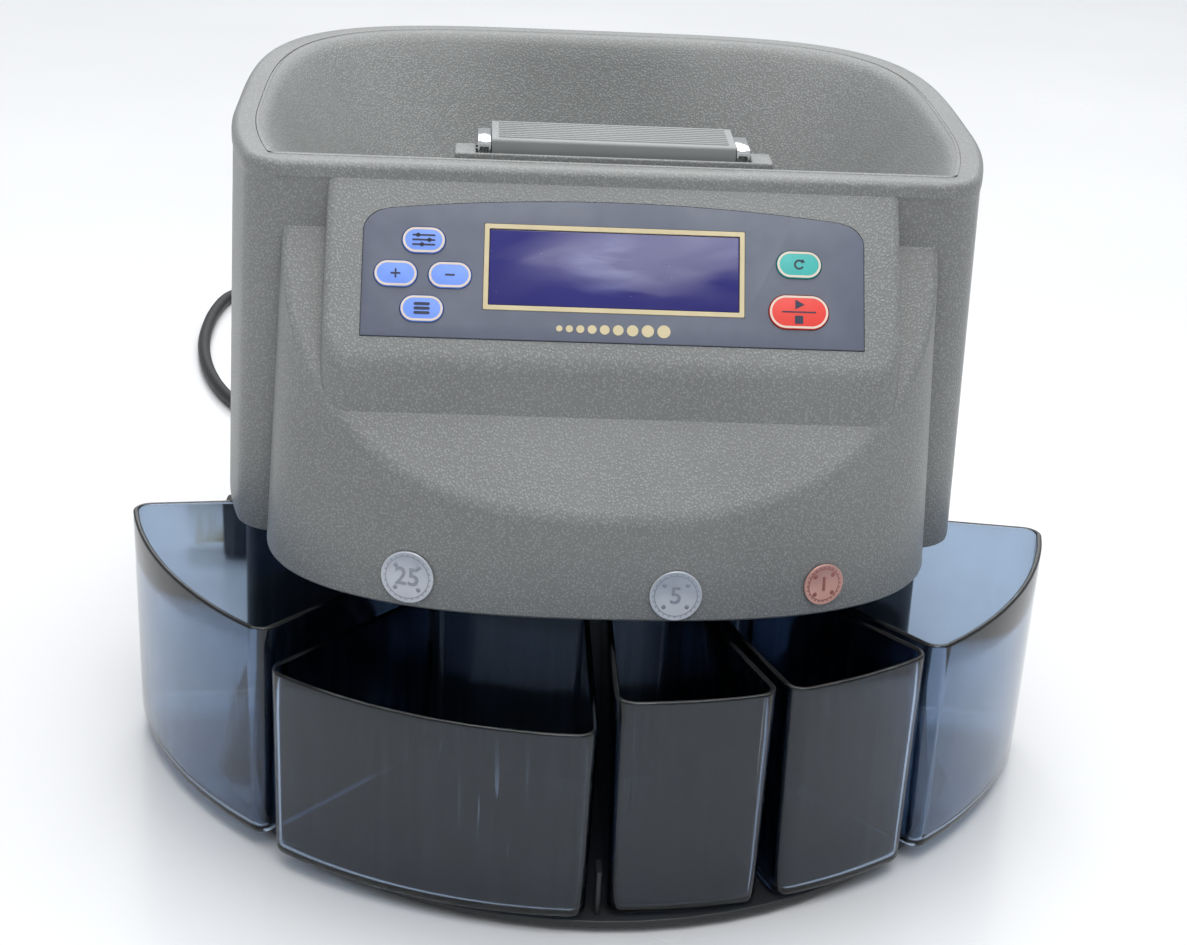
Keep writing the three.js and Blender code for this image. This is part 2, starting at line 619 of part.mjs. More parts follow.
// The chassis follows the housing at the back, with a round column under the sorting disc.
function chassisOutline(less) {
  const half = CHASSIS.halfWidth - less;
  const column = CHASSIS.column - less;
  const front = CHASSIS.front + less;
  const back = CHASSIS.back - less;
  const reach = THREE.MathUtils.radToDeg(Math.acos((FAN.y - front) / column));
  const steps = 22;
  const arc = Array.from({ length: steps + 1 }, (_, i) =>
    around(lerp(-reach, reach, i / steps), column));
  return rounded([...arc, [half, front], [half, back], [-half, back], [-half, front]],
    [...arc.map(() => 0), 6, 26, 26, 6], 4);
}

function chassis() {
  const shell = cut(prism(chassisOutline(0), CHASSIS.bottom, CHASSIS.top),
    prism(chassisOutline(WALL), CHASSIS.bottom - 1, CHASSIS.top + 1));
  const opening = box(-COVER.width / 2 + 8, COVER.width / 2 - 8, CHASSIS.back - 8, CHASSIS.back + 1,
    COVER.centreZ - COVER.height / 2 + 8, COVER.centreZ + COVER.height / 2 - 8);
  return cut(shell, opening);
}
add('rear_chassis', chassis(), CHARCOAL);

const COVER_FRONT = CHASSIS.back + GAP;
const COVER_BACK = COVER_FRONT + COVER.thickness;
const SWITCH = { x: -40, z: 56, width: 13, height: 19 };

function rearCover() {
  const plate = box(-COVER.width / 2, COVER.width / 2, COVER_FRONT, COVER_BACK,
    COVER.centreZ - COVER.height / 2, COVER.centreZ + COVER.height / 2);
  const gland = rod(6.2, COVER_FRONT - 5, COVER_BACK + 5, { axis: 'y', x: CORD_EXIT.x, sides: 20 })
    .translate(0, 0, CORD_EXIT.z);
  const window = box(SWITCH.x - SWITCH.width / 2, SWITCH.x + SWITCH.width / 2, COVER_FRONT - 5,
    COVER_BACK + 5, SWITCH.z - SWITCH.height / 2, SWITCH.z + SWITCH.height / 2);
  const vents = Array.from({ length: 7 }, (_, i) => box(
    46, 66, COVER_FRONT - 5, COVER_BACK + 5, 32 + 6 * i, 34.4 + 6 * i));
  return cut(plate, gland, window, ...vents);
}
add('rear_cover', rearCover(), CHARCOAL);

for (const [name, x] of [['cover_screw_left', -70], ['cover_screw_right', 70]]) {
  const head = rod(3, COVER_BACK + GAP, COVER_BACK + 2.2, { axis: 'y', x, sides: 16 });
  const slot = box(x - 4, x + 4, COVER_BACK + 1.4, COVER_BACK + 4, -0.5, 0.5);
  add(name, cut(head, slot).translate(0, 0, 80), STEEL);
}

// Rocker power switch, its top half leaning back.
function rocker() {
  const half = SWITCH.width / 2 - 0.8;
  const tall = SWITCH.height / 2 - 1.2;
  const section = [
    [COVER_FRONT - 7, -tall + 2], [COVER_BACK + 3.4, -tall], [COVER_BACK + 0.8, 0],
    [COVER_BACK + 0.8, tall], [COVER_FRONT - 7, tall - 2],
  ];
  const at = (x) => section.map(([y, z]) => [x, y, z + SWITCH.z]);
  return loft([at(SWITCH.x - half), at(SWITCH.x + half)]);
}
add('rocker_switch', rocker(), RUBBER);

// ---------------------------------------------------------------- sorting deck and disc
function slotCutter(slot, bottom, top, more) {
  const width = slot.coin + more;
  const outer = DECK.slotInner + slot.coin + more / 2;
  const plan = [
    [-width / 2, -outer], [width / 2, -outer],
    [width / 2, -DECK.slotInner + more / 2], [-width / 2, -DECK.slotInner + more / 2],
  ];
  return prism(plan, bottom, top).rotateZ(radians(slot.angle)).translate(FAN.x, FAN.y, 0);
}

// The deck fills the housing's lower opening and stands on the chassis walls with four bosses.
function deck() {
  const side = WALL + GAP;
  const inTower = prism(planOutline(inset(wallPlan(DECK.bottom), side)), DECK.bottom, DECK.top);
  const drumSpan = loft([
    drumOutline(() => DECK.bottom, side), drumOutline(() => DECK.top, side),
  ]);
  const bosses = [-1, 1].flatMap((x) => [40, 86].map((y) =>
    box(x * 132 - 4.3, x * 132 + 4.3, y - 5, y + 5, HOUSING.bottom, DECK.bottom + 1)));
  const plate = join(inTower, drumSpan, ...bosses);
  return cut(plate, rod(DECK.hole, DECK.bottom - 1, DECK.top + 1, { x: FAN.x, y: FAN.y, sides: 48 }),
    ...COIN_SLOTS.map((slot) => slotCutter(slot, DECK.bottom - 1, DECK.top + 1, 0.6)));
}
add('deck_plate', deck(), paint(0x4c4f52, 0.5));

add('sorting_ring', cut(ring(RING.inner, RING.outer, RING.bottom, RING.top),
  ...COIN_SLOTS.map((slot) => slotCutter(slot, RING.bottom - 1, RING.bottom + 2.6, 0.6))), STEEL);

add('ring_cover', ring(RING_COVER.inner, RING.outer, RING_COVER.bottom, RING_COVER.top),
  paint(0x3a3c3e, 0.5));

add('sorting_disc', turned([
  [4.4, 98], [14, 98], [14, DISC.bottom], [DISC.radius, DISC.bottom], [DISC.radius, DISC.top],
  [22, DISC.top], [12, 112], [5, 114], [0.01, 114], [0.01, 108.6], [4.4, 108.6],
]), STEEL);

function chutes() {
  const tray = ring(85.3, RING.outer, 101.4, DECK.bottom - GAP);
  const spouts = COIN_SLOTS.map((slot) => slotCutter(slot, 96, 102, 3.6));
  const holes = COIN_SLOTS.map((slot) => slotCutter(slot, 94, DECK.bottom + 1, 0.6));
  return cut(join(tray, ...spouts), ...holes);
}
add('coin_chutes', chutes(), paint(0x303234, 0.6));

// ---------------------------------------------------------------- drive
const SHAFT_RADIUS = 4;

function gear(teeth, bottom, top, bore) {
  const pitch = GEAR.module * teeth / 2;
  const tip = pitch + GEAR.module * 0.9;
  const root = pitch - GEAR.module * 1.15;
  const outline = Array.from({ length: teeth }, (_, i) => {
    const at = (radius, share) => {
      const a = (i + share) / teeth * 2 * Math.PI;
      return [radius * Math.cos(a), radius * Math.sin(a)];
    };
    return [at(root, 0.2), at(tip, 0.38), at(tip, 0.62), at(root, 0.8)];
  }).flat();
  return cut(prism(outline, bottom, top), rod(bore, bottom - 1, top + 1));
}

add('disc_gear', gear(GEAR.teeth, GEAR.bottom, GEAR.top, SHAFT_RADIUS + GAP)
  .translate(FAN.x, FAN.y, 0), paint(0xe8e2d0, 0.5));
add('disc_shaft', rod(SHAFT_RADIUS, 58, 108, { x: FAN.x, y: FAN.y }), STEEL);

const halfTooth = Math.PI / PINION_TEETH;
add('motor_pinion', join(
  gear(PINION_TEETH, GEAR.bottom - 0.5, GEAR.top + 0.5, 1.2).rotateZ(halfTooth),
  rod(2.5, 52, GEAR.bottom)).translate(FAN.x, MOTOR_Y, 0), BRASS);

add('drive_plate', cut(prism(circle(CHASSIS.column - WALL - GAP - 0.2, FAN.x, FAN.y, 44), 74, 77),
  rod(6, 70, 80, { x: FAN.x, y: FAN.y }), rod(14, 70, 80, { x: 0, y: 66 })), STEEL);
add('bearing_housing', ring(11.4, 16, 77.3, 96.5, { sides: 32 }), paint(0x55585b, 0.5));
add('bearing_lower', ring(SHAFT_RADIUS + RUNNING, 11, 77.6, 84.6, { sides: 32 }), STEEL);
add('bearing_upper', ring(SHAFT_RADIUS + RUNNING, 11, 89, 96, { sides: 32 }), STEEL);

add('drive_motor', cut(rod(21, 9, 54, { x: 0, y: MOTOR_Y, sides: 32 }),
  rod(3, 50, 60, { x: 0, y: MOTOR_Y })), paint(0x8c9094, 0.4, 0.8));

function motorBracket() {
  const plate = cut(box(-28, 28, MOTOR_Y - 26, MOTOR_Y + 30, 54.4, 57),
    rod(8, 50, 60, { x: 0, y: MOTOR_Y }), rod(8, 50, 60, { x: FAN.x, y: FAN.y + 22 }));
  const posts = [-22, 22].map((x) => box(x - 3, x + 3, MOTOR_Y + 18, MOTOR_Y + 24, 56, 73.6));
  return join(plate, ...posts);
}
add('motor_bracket', motorBracket(), STEEL);

add('transformer', box(-118, -70, 50, 100, CHASSIS.bottom + 0.5, 50), paint(0x6b5a3a, 0.5, 0.4));
add('main_board', box(62, 122, 40, 104, 20, 21.6), BOARD);
add('sensor_board', ring(72, 83, 98.6, 100), BOARD);

// ---------------------------------------------------------------- mains cord
// Strain relief through the rear cover, tapering to the cord.
function gland() {
  const taper = [
    [3.6, COVER_FRONT - 4], [8, COVER_FRONT - 4], [8, COVER_FRONT - GAP], [5.9, COVER_FRONT - GAP],
    [5.9, COVER_BACK + GAP], [8, COVER_BACK + GAP], [8, COVER_BACK + 3], [6, COVER_BACK + 5],
    [4.6, CORD_EXIT.y - GAP], [3.6, CORD_EXIT.y - GAP],
  ];
  return turned(taper, { x: 0, y: 0, sides: 20 }).rotateX(-Math.PI / 2)
    .translate(CORD_EXIT.x, 0, CORD_EXIT.z);
}

const FLOOR = CORD_DIAMETER / 2 + 0.2; // height of the cord's middle where it lies on the table
const TO_COIL = [ // from the strain relief down to the table and along it to the coil
  [20, 160, 46], [20, 168, 45.9], [20, 180, 44.2], [20, 194, 38.6], [20, 208, 28.6], [20, 221, 17.4],
  [19.6, 235, 8.6], [18.6, 250, 4.5], [16, 268, FLOOR], [10, 292, FLOOR], [-1, 318, FLOOR],
  [-14, 342, FLOOR], [-22, 361, FLOOR], [-25.4, 378, FLOOR], [-26, 393.6, FLOOR],
];
const TO_PLUG = [ // from the coil round its back, out to the left and forward to the plug
  [-70.5, 471.2, FLOOR + CORD_DIAMETER], [-84, 478.9, 9.6], [-100, 486.6, 7.2], [-118, 493.4, 4.8],
  [-138, 499, FLOOR], [-160, 501, FLOOR], [-179, 496, FLOOR], [-190.5, 482, FLOOR], [-195.5, 460, FLOOR],
  [-197.5, 430, FLOOR], [-196, 396, FLOOR], [-188.5, 356, FLOOR], [-174, 318, FLOOR], [-150, 284, FLOOR],
  [-118, 254, FLOOR], [-84, 228, FLOOR], [-60, 202, FLOOR], [-50, 176, 4.2], [-59, 151, 7.4],
  [-80, 139, 11.4], [-100, 137, 12.6], [-107.7, 137, 12.8],
];
const SEGMENT = CORD_DIAMETER * 2.4;

function cordTube(points) {
  const path = new THREE.CatmullRomCurve3(points.map((p) => new THREE.Vector3(...p)), false, 'centripetal');
  const radius = CORD_DIAMETER / 2;
  const section = new THREE.Shape(circle(radius, 0, 0, 8).map(([x, y]) => new THREE.Vector2(x, y)));
  const steps = Math.ceil(path.getLength() / SEGMENT);
  return new THREE.ExtrudeGeometry(section, { steps, extrudePath: path, bevelEnabled: false });
}

add('cord_gland', gland(), RUBBER);
add('cord_to_coil', cordTube(TO_COIL), RUBBER);
add('cord_coil', turned([
  [COIL.inner, 0.3], [COIL.outer, 0.3],
  [COIL.outer, COIL.layers * CORD_DIAMETER + 0.6], [COIL.inner, COIL.layers * CORD_DIAMETER + 0.6],
], { x: COIL.x, y: COIL.y, sides: 32 }), RUBBER);
add('cord_to_plug', cordTube(TO_PLUG), RUBBER);

function plugBody() {
  const half = 11.8;
  const face = roundedBox(2 * half, 2 * half + 1.6, 5, 3);
  const at = (x, share) => face.map(([a, b]) => [x, PLUG.y + a * share, PLUG.z - 0.2 + b * share]);
  const tail = (x, radius) => face.map(([a, b]) => {
    const turn = Math.atan2(b, a);
    return [x, PLUG.y + radius * Math.cos(turn), PLUG.z + radius * Math.sin(turn)];
  });
  const back = PLUG.x + PLUG.length;
  return loft([
    at(PLUG.x, 0.92), at(PLUG.x + 1.2, 0.99), at(PLUG.x + 10, 0.99), at(PLUG.x + 14, 0.84),
    at(back - 4, 0.78), tail(back, 6), tail(back + PLUG.relief, 4),
  ]);
}
add('plug_body', plugBody(), RUBBER);

for (const [name, side] of [['plug_blade_lower', -1], ['plug_blade_upper', 1]]) {
  const z = PLUG.z + side * PLUG.pitch / 2;
  const blade = box(PLUG.x - 17, PLUG.x - GAP, PLUG.y - 3.2, PLUG.y + 3.2, z - 0.75, z + 0.75);
  const hole = rod(1.6, z - 3, z + 3, { x: PLUG.x - 12.5, y: PLUG.y, sides: 14 });
  add(name, cut(blade, hole), BRASS);
}

export default object;
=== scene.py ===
import math

import bmesh
import bpy
from mathutils import Matrix, Vector


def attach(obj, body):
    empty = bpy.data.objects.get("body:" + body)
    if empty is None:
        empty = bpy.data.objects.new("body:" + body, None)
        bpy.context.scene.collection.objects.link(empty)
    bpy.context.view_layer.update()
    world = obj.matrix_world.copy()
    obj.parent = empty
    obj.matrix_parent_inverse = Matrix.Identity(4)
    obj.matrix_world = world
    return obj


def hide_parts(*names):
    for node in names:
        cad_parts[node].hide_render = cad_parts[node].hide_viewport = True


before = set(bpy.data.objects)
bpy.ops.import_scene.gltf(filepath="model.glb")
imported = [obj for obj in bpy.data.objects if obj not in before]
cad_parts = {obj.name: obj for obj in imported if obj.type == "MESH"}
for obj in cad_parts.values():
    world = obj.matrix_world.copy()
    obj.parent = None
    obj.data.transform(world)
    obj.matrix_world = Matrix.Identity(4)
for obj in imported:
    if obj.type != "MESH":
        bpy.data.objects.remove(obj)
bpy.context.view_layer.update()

MM = 0.001
GAP = 0.3

# ------------------------------------------------------------------ camera
YAW, PITCH, ROLL = math.radians(3.48), math.radians(22.89), math.radians(3.01)
camera = bpy.data.objects.new("camera", bpy.data.cameras.new("camera"))
bpy.context.scene.collection.objects.link(camera)
camera.data.sensor_width = 36
camera.data.lens = 72.79
camera.data.clip_end = 30
forward = Vector((math.sin(YAW) * math.cos(PITCH), math.cos(YAW) * math.cos(PITCH), -math.sin(PITCH)))
level_right = Vector((math.cos(YAW), -math.sin(YAW), 0))
level_up = level_right.cross(forward)
right = math.cos(ROLL) * level_right + math.sin(ROLL) * level_up
up = math.cos(ROLL) * level_up - math.sin(ROLL) * level_right
turn = Matrix((right, up, -forward)).transposed().to_4x4()
camera.matrix_world = Matrix.Translation((-0.05215, -0.8704, 0.47004)) @ turn
bpy.context.scene.camera = camera
bpy.context.scene.view_settings.view_transform = "Standard"


# ------------------------------------------------------------------ mesh helpers, in millimetres
def lerp(a, b, t):
    return a + (b - a) * t


def smooth(mesh, angle=32):
    mesh.shade_smooth()
    mesh.set_sharp_from_angle(angle=math.radians(angle))


def new_object(name, mesh):
    obj = bpy.data.objects.new(name, mesh)
    bpy.context.scene.collection.objects.link(obj)
    return obj


def build(name, solid, angle=32):
    """Mesh object from (vertices in mm, faces)."""
    points, faces = solid
    mesh = bpy.data.meshes.new(name)
    mesh.from_pydata([[c * MM for c in p] for p in points], [], faces)
    shape = bmesh.new()
    shape.from_mesh(mesh)
    bmesh.ops.remove_doubles(shape, verts=shape.verts, dist=1e-6)
    bmesh.ops.recalc_face_normals(shape, faces=shape.faces)
    if shape.calc_volume(signed=True) < 0:
        bmesh.ops.reverse_faces(shape, faces=shape.faces)
    shape.to_mesh(mesh)
    shape.free()
    smooth(mesh, angle)
    return new_object(name, mesh)


def apply_modifiers(obj):
    graph = bpy.context.evaluated_depsgraph_get()
    mesh = bpy.data.meshes.new_from_object(obj.evaluated_get(graph))
    obj.modifiers.clear()
    obj.data = mesh
    return obj


def combine(obj, add=(), cut=(), angle=32):
    """Adds and cuts solids, then drops the helpers."""
    for operation, helpers in (("UNION", add), ("DIFFERENCE", cut)):
        for helper in helpers:
            modifier = obj.modifiers.new("solid", "BOOLEAN")
            modifier.operation = operation
            modifier.solver = "MANIFOLD"
            modifier.object = helper
    apply_modifiers(obj)
    for helper in (*add, *cut):
        bpy.data.objects.remove(helper)
    smooth(obj.data, angle)
    return obj


def bevelled(obj, width, segments=2, angle=30):
    modifier = obj.modifiers.new("edges", "BEVEL")
    modifier.width = width * MM
    modifier.segments = segments
    modifier.limit_method = "ANGLE"
    modifier.angle_limit = math.radians(angle)
    modifier.use_clamp_overlap = True
    apply_modifiers(obj)
    smooth(obj.data, 40)
    return obj


def joined(name, objects):
    """One object from several that share a material."""
    shape = bmesh.new()
    for obj in objects:
        obj.data.transform(obj.matrix_world)
        shape.from_mesh(obj.data)
        bpy.data.objects.remove(obj)
    mesh = bpy.data.meshes.new(name)
    shape.to_mesh(mesh)
    shape.free()
    smooth(mesh)
    return new_object(name, mesh)


def loft(rings, closed=False):
    count = len(rings[0])
    points = [p for ring in rings for p in ring]
    faces = []
    for r in range(len(rings) if closed else len(rings) - 1):
        low, high = r * count, (r + 1) % len(rings) * count
        for i in range(count):
            j = (i + 1) % count
            faces.append((low + i, low + j, high + j, high + i))
    if not closed:
        faces.append(tuple(reversed(range(count))))
        faces.append(tuple(range(len(points) - count, len(points))))
    return points, faces


def level(outline, z):
    return [(x, y, z) for x, y in outline]


def prism(outline, bottom, top):
    return loft([level(outline, bottom), level(outline, top)])


def moved(solid, x=0, y=0, z=0):
    points, faces = solid
    return [(a + x, b + y, c + z) for a, b, c in points], faces


def box(x0, x1, y0, y1, z0, z1):
    return prism([(x0, y0), (x1, y0), (x1, y1), (x0, y1)], z0, z1)


def circle(radius, sides, cx=0, cy=0):
    turns = [2 * math.pi * i / sides for i in range(sides)]
    return [(cx + radius * math.cos(a), cy + radius * math.sin(a)) for a in turns]


def turned(profile, sides=64, closed=False):
    """Rings round Z from (radius, z) pairs."""
    return loft([level(circle(r, sides), z) for r, z in profile], closed)


def rounded(corners, radii, steps=6):
    """Polygon with round corners, counter-clockwise."""
    outline = []
    for i, corner in enumerate(corners):
        radius = radii[i] if isinstance(radii, (list, tuple)) else radii
        corner = Vector(corner)
        if radius <= 0:
            outline.append(tuple(corner))
            continue
        before = (Vector(corners[i - 1]) - corner).normalized()
        after = (Vector(corners[(i + 1) % len(corners)]) - corner).normalized()
        half = before.angle(after) / 2
        start = corner + before * radius / math.tan(half)
        middle = corner + (before + after).normalized() * radius / math.sin(half)
        first = math.atan2(start.y - middle.y, start.x - middle.x)
        end = corner + after * radius / math.tan(half)
        sweep = math.atan2(end.y - middle.y, end.x - middle.x) - first
        sweep -= 2 * math.pi * round(sweep / 2 / math.pi)
        for k in range(steps + 1):
            a = first + sweep * k / steps
            outline.append((middle.x + radius * math.cos(a), middle.y + radius * math.sin(a)))
    return outline


def rounded_box(width, height, radius, steps=8):
    w, h = width / 2, height / 2
    return rounded([(-w, -h), (w, -h), (w, h), (-w, h)], min(radius, w - 0.01, h - 0.01), steps)


def edge_arc(radius, steps=5):
    """(down, less) pairs of a quarter-round edge, from the wall to the top face."""
    turns = [math.pi / 2 * i / steps for i in range(steps + 1)]
    return [(radius * (1 - math.sin(a)), radius * (1 - math.cos(a))) for a in turns]


def pad(outline_at, bottom, top, radius=0.3, steps=3):
    """Flat piece with a round upper edge; outline_at(less) is its outline moved in."""
    rings = [level(outline_at(0), bottom)]
    rings += [level(outline_at(less), top - down) for down, less in edge_arc(radius, steps)]
    return loft(rings)


# ------------------------------------------------------------------ node materials
class Finish:
    """A procedural material. Coordinates are the row frame's, in metres."""

    def __init__(self, name, color, roughness, metallic=0.0, **sockets):
        self.material = bpy.data.materials.new(name)
        self.material.use_nodes = True
        self.tree = self.material.node_tree
        self.shader = self.tree.nodes["Principled BSDF"]
        self.color = color
        self.shader.inputs["Base Color"].default_value = (*color, 1)
        self.shader.inputs["Roughness"].default_value = roughness
        self.shader.inputs["Metallic"].default_value = metallic
        for socket, value in sockets.items():
            self.shader.inputs[socket.replace("_", " ")].default_value = value
        self.place = self.tree.nodes.new("ShaderNodeTexCoord").outputs["Object"]
        self.normal = None

    def link(self, output, target):
        self.tree.links.new(output, target)

    def noise(self, scale, detail=3.0, stretch=None, distortion=0.0):
        node = self.tree.nodes.new("ShaderNodeTexNoise")
        node.inputs["Scale"].default_value = scale
        node.inputs["Detail"].default_value = detail
        node.inputs["Distortion"].default_value = distortion
        self.link(self.stretched(stretch), node.inputs["Vector"])
        return node.outputs["Fac"]

    def cells(self, scale, feature="F1", stretch=None):
        node = self.tree.nodes.new("ShaderNodeTexVoronoi")
        node.feature = feature
        node.inputs["Scale"].default_value = scale
        self.link(self.stretched(stretch), node.inputs["Vector"])
        return node.outputs["Distance"]

    def stretched(self, stretch):
        if stretch is None:
            return self.place
        node = self.tree.nodes.new("ShaderNodeMapping")
        node.inputs["Rotation"].default_value = stretch[1]
        node.inputs["Scale"].default_value = stretch[0]
        self.link(self.place, node.inputs["Vector"])
        return node.outputs["Vector"]

    def remap(self, value, low, high, to_low, to_high):
        node = self.tree.nodes.new("ShaderNodeMapRange")
        for socket, number in zip(("From Min", "From Max", "To Min", "To Max"), (low, high, to_low, to_high)):
            node.inputs[socket].default_value = number
        self.link(value, node.inputs["Value"])
        return node.outputs["Result"]

    def vary(self, value, dark, light, low=0.3, high=0.7):
        """Colour moves between two shades of the base colour."""
        node = self.tree.nodes.new("ShaderNodeMix")
        node.data_type = "RGBA"
        node.inputs["A"].default_value = (*[c * dark for c in self.color], 1)
        node.inputs["B"].default_value = (*[min(c * light, 1) for c in self.color], 1)
        self.link(self.remap(value, low, high, 0, 1), node.inputs["Factor"])
        self.link(node.outputs["Result"], self.shader.inputs["Base Color"])
        return self

    def blend(self, first, second, share):
        """Weighted sum of two 0-1 values."""
        node = self.tree.nodes.new("ShaderNodeMix")
        node.inputs["Factor"].default_value = share
        self.link(first, node.inputs["A"])
        self.link(second, node.inputs["B"])
        return node.outputs["Result"]

    def times(self, first, second):
        node = self.tree.nodes.new("ShaderNodeMath")
        node.operation = "MULTIPLY"
        self.link(first, node.inputs[0])
        self.link(second, node.inputs[1])
        return node.outputs["Value"]

    def near(self, point, reach, squash=(1, 1, 1)):
        """1 at a point in millimetres, falling to 0 at the reach along each axis."""
        shift = self.tree.nodes.new("ShaderNodeVectorMath")
        shift.operation = "SUBTRACT"
        shift.inputs[1].default_value = [c * MM for c in point]
        self.link(self.place, shift.inputs[0])
        scale = self.tree.nodes.new("ShaderNodeVectorMath")
        scale.operation = "MULTIPLY"
        scale.inputs[1].default_value = [c / reach / MM for c in squash]
        self.link(shift.outputs["Vector"], scale.inputs[0])
        length = self.tree.nodes.new("ShaderNodeVectorMath")
        length.operation = "LENGTH"
        self.link(scale.outputs["Vector"], length.inputs[0])
        return self.remap(length.outputs["Value"], 0, 1, 1, 0)

    def marks(self, mask, color, strength):
        """Lays a second colour over the base colour where the mask says."""
        node = self.tree.nodes.new("ShaderNodeMix")
        node.data_type = "RGBA"
        base = self.shader.inputs["Base Color"]
        self.link(base.links[0].from_socket, node.inputs["A"])
        node.inputs["B"].default_value = (*color, 1)
        self.link(self.remap(mask, 0, 1, 0, strength), node.inputs["Factor"])
        self.link(node.outputs["Result"], base)
        return self

    def gloss(self, value, low, high, start=0.3, end=0.7):
        self.link(self.remap(value, start, end, low, high), self.shader.inputs["Roughness"])
        return self

    def bump(self, value, strength, depth):
        node = self.tree.nodes.new("ShaderNodeBump")
        node.inputs["Strength"].default_value = strength
        node.inputs["Distance"].default_value = depth * MM
        self.link(value, node.inputs["Height"])
        if self.normal:
            self.link(self.normal, node.inputs["Normal"])
        self.normal = node.outputs["Normal"]
        self.link(self.normal, self.shader.inputs["Normal"])
        return self


def moulded(name, color, roughness=0.45, grain=1300, strength=0.25, depth=0.1, **sockets):
    """Moulded plastic with a spark-eroded grain, faint flow marks and uneven gloss."""
    finish = Finish(name, color, roughness, **sockets)
    fine = finish.noise(grain, 2)
    wide = finish.noise(22, 4)
    finish.vary(wide, 0.93, 1.06)
    finish.gloss(fine, roughness - 0.07, roughness + 0.1)
    finish.bump(finish.noise(90, 2), 0.05, 0.3)
    finish.bump(fine, strength, depth)
    return finish.material


def metal(name, color, roughness, stretch=(1, 1, 1), grain=900, strength=0.12):
    finish = Finish(name, color, roughness, metallic=1.0)
    streaks = finish.noise(grain, 3, (stretch, (0, 0, 0)))
    finish.vary(finish.noise(30, 3), 0.88, 1.05)
    finish.gloss(streaks, roughness * 0.7, roughness * 1.5 + 0.03)
    finish.bump(streaks, strength, 0.05)
    return finish.material


def film(name, color, roughness, **sockets):
    """Printed film or ink."""
    finish = Finish(name, color, roughness, **sockets)
    finish.vary(finish.noise(160, 3), 0.95, 1.04)
    finish.gloss(finish.noise(60, 4), roughness - 0.05, roughness + 0.08)
    finish.bump(finish.noise(1500, 2), 0.08, 0.05)
    return finish.material


def housing_finish():
    """Grey plastic with a coarse grain whose tips glint."""
    finish = Finish("housing_grain", (0.262, 0.269, 0.265), 0.42)
    tips = finish.cells(1050)
    fine = finish.noise(1500, 2)
    grain = finish.blend(finish.remap(tips, 0.12, 0.5, 1, 0), fine, 0.4)
    finish.vary(finish.blend(grain, finish.noise(14, 4), 0.3), 0.72, 1.38, 0.2, 0.8)
    finish.gloss(fine, 0.28, 0.5)
    finish.bump(finish.noise(60, 2), 0.04, 0.4)
    finish.bump(finish.remap(tips, 0, 0.6, 1, 0), 0.55, 0.2)
    return finish.material


def smoke_finish():
    """Clear blue-grey plastic with polished faces, faint haze and scratches on the front left bin."""
    finish = Finish("smoke_blue_clear", (0.35, 0.45, 0.59), 0.06)
    finish.shader.inputs["IOR"].default_value = 1.5
    finish.vary(finish.noise(40, 3), 0.93, 1.05)
    hairs = finish.noise(260, 2, ((1, 1, 0.06), (0.5, 0.2, 0.0)))
    finish.gloss(hairs, 0.03, 0.16, 0.45, 0.8)
    finish.bump(hairs, 0.03, 0.05)
    streaks = finish.remap(finish.noise(420, 1, ((1, 1, 0.035), (0, 0.62, 0))), 0.66, 0.7, 0, 1)
    scratched = finish.times(streaks, finish.near((-36, -171, 52), 20, (1, 0.5, 0.8)))
    finish.marks(scratched, (0.9, 0.93, 1.0), 1.0)
    finish.link(finish.remap(scratched, 0, 1, 1, 0.35), finish.shader.inputs["Transmission Weight"])
    return finish.material


GREY = housing_finish()
CHARCOAL = moulded("charcoal_plastic", (0.022, 0.023, 0.025), 0.42, 1500, 0.2)
SMOKE = smoke_finish()
GRIP = moulded("handle_plastic", (0.30, 0.31, 0.31), 0.38, 1500, 0.12)
LABEL = film("label_film", (0.118, 0.135, 0.185), 0.4)
GOLD = film("gold_ink", (0.66, 0.56, 0.34), 0.4)
CREAM = film("cream_ink", (0.78, 0.66, 0.55), 0.4)
INK = film("dark_ink", (0.02, 0.025, 0.06), 0.45)
KEY_BLUE = film("key_blue", (0.18, 0.34, 0.95), 0.35)
KEY_TEAL = film("key_teal", (0.05, 0.48, 0.44), 0.35)
KEY_RED = film("key_red", (0.84, 0.045, 0.03), 0.35)
CHROME = metal("chrome_trim", (0.86, 0.87, 0.88), 0.06, strength=0.02)
STEEL = metal("brushed_steel", (0.56, 0.57, 0.58), 0.28, (1, 12, 1))
BRASS = metal("brass_blade", (0.72, 0.55, 0.25), 0.22, (12, 1, 1))
RUBBER = moulded("black_rubber", (0.012, 0.012, 0.013), 0.5, 1200, 0.18)
SILVER = film("silver_foil", (0.62, 0.65, 0.70), 0.32, Metallic=0.35)
COPPER = film("copper_foil", (0.66, 0.36, 0.31), 0.34, Metallic=0.3)
SILVER_DARK = film("silver_print", (0.34, 0.37, 0.43), 0.4, Metallic=0.2)
COPPER_DARK = film("copper_print", (0.36, 0.13, 0.12), 0.4, Metallic=0.2)
DECK = moulded("deck_plastic", (0.05, 0.052, 0.055), 0.5, 1300, 0.2)
BOARD = moulded("circuit_board", (0.012, 0.09, 0.035), 0.35, 700, 0.1)
GEAR = moulded("gear_acetal", (0.75, 0.71, 0.6), 0.35, 1600, 0.06)
CORE = metal("laminated_core", (0.2, 0.16, 0.1), 0.5, (1, 1, 40), 700, 0.4)
MODULE = moulded("module_black", (0.02, 0.021, 0.024), 0.4)


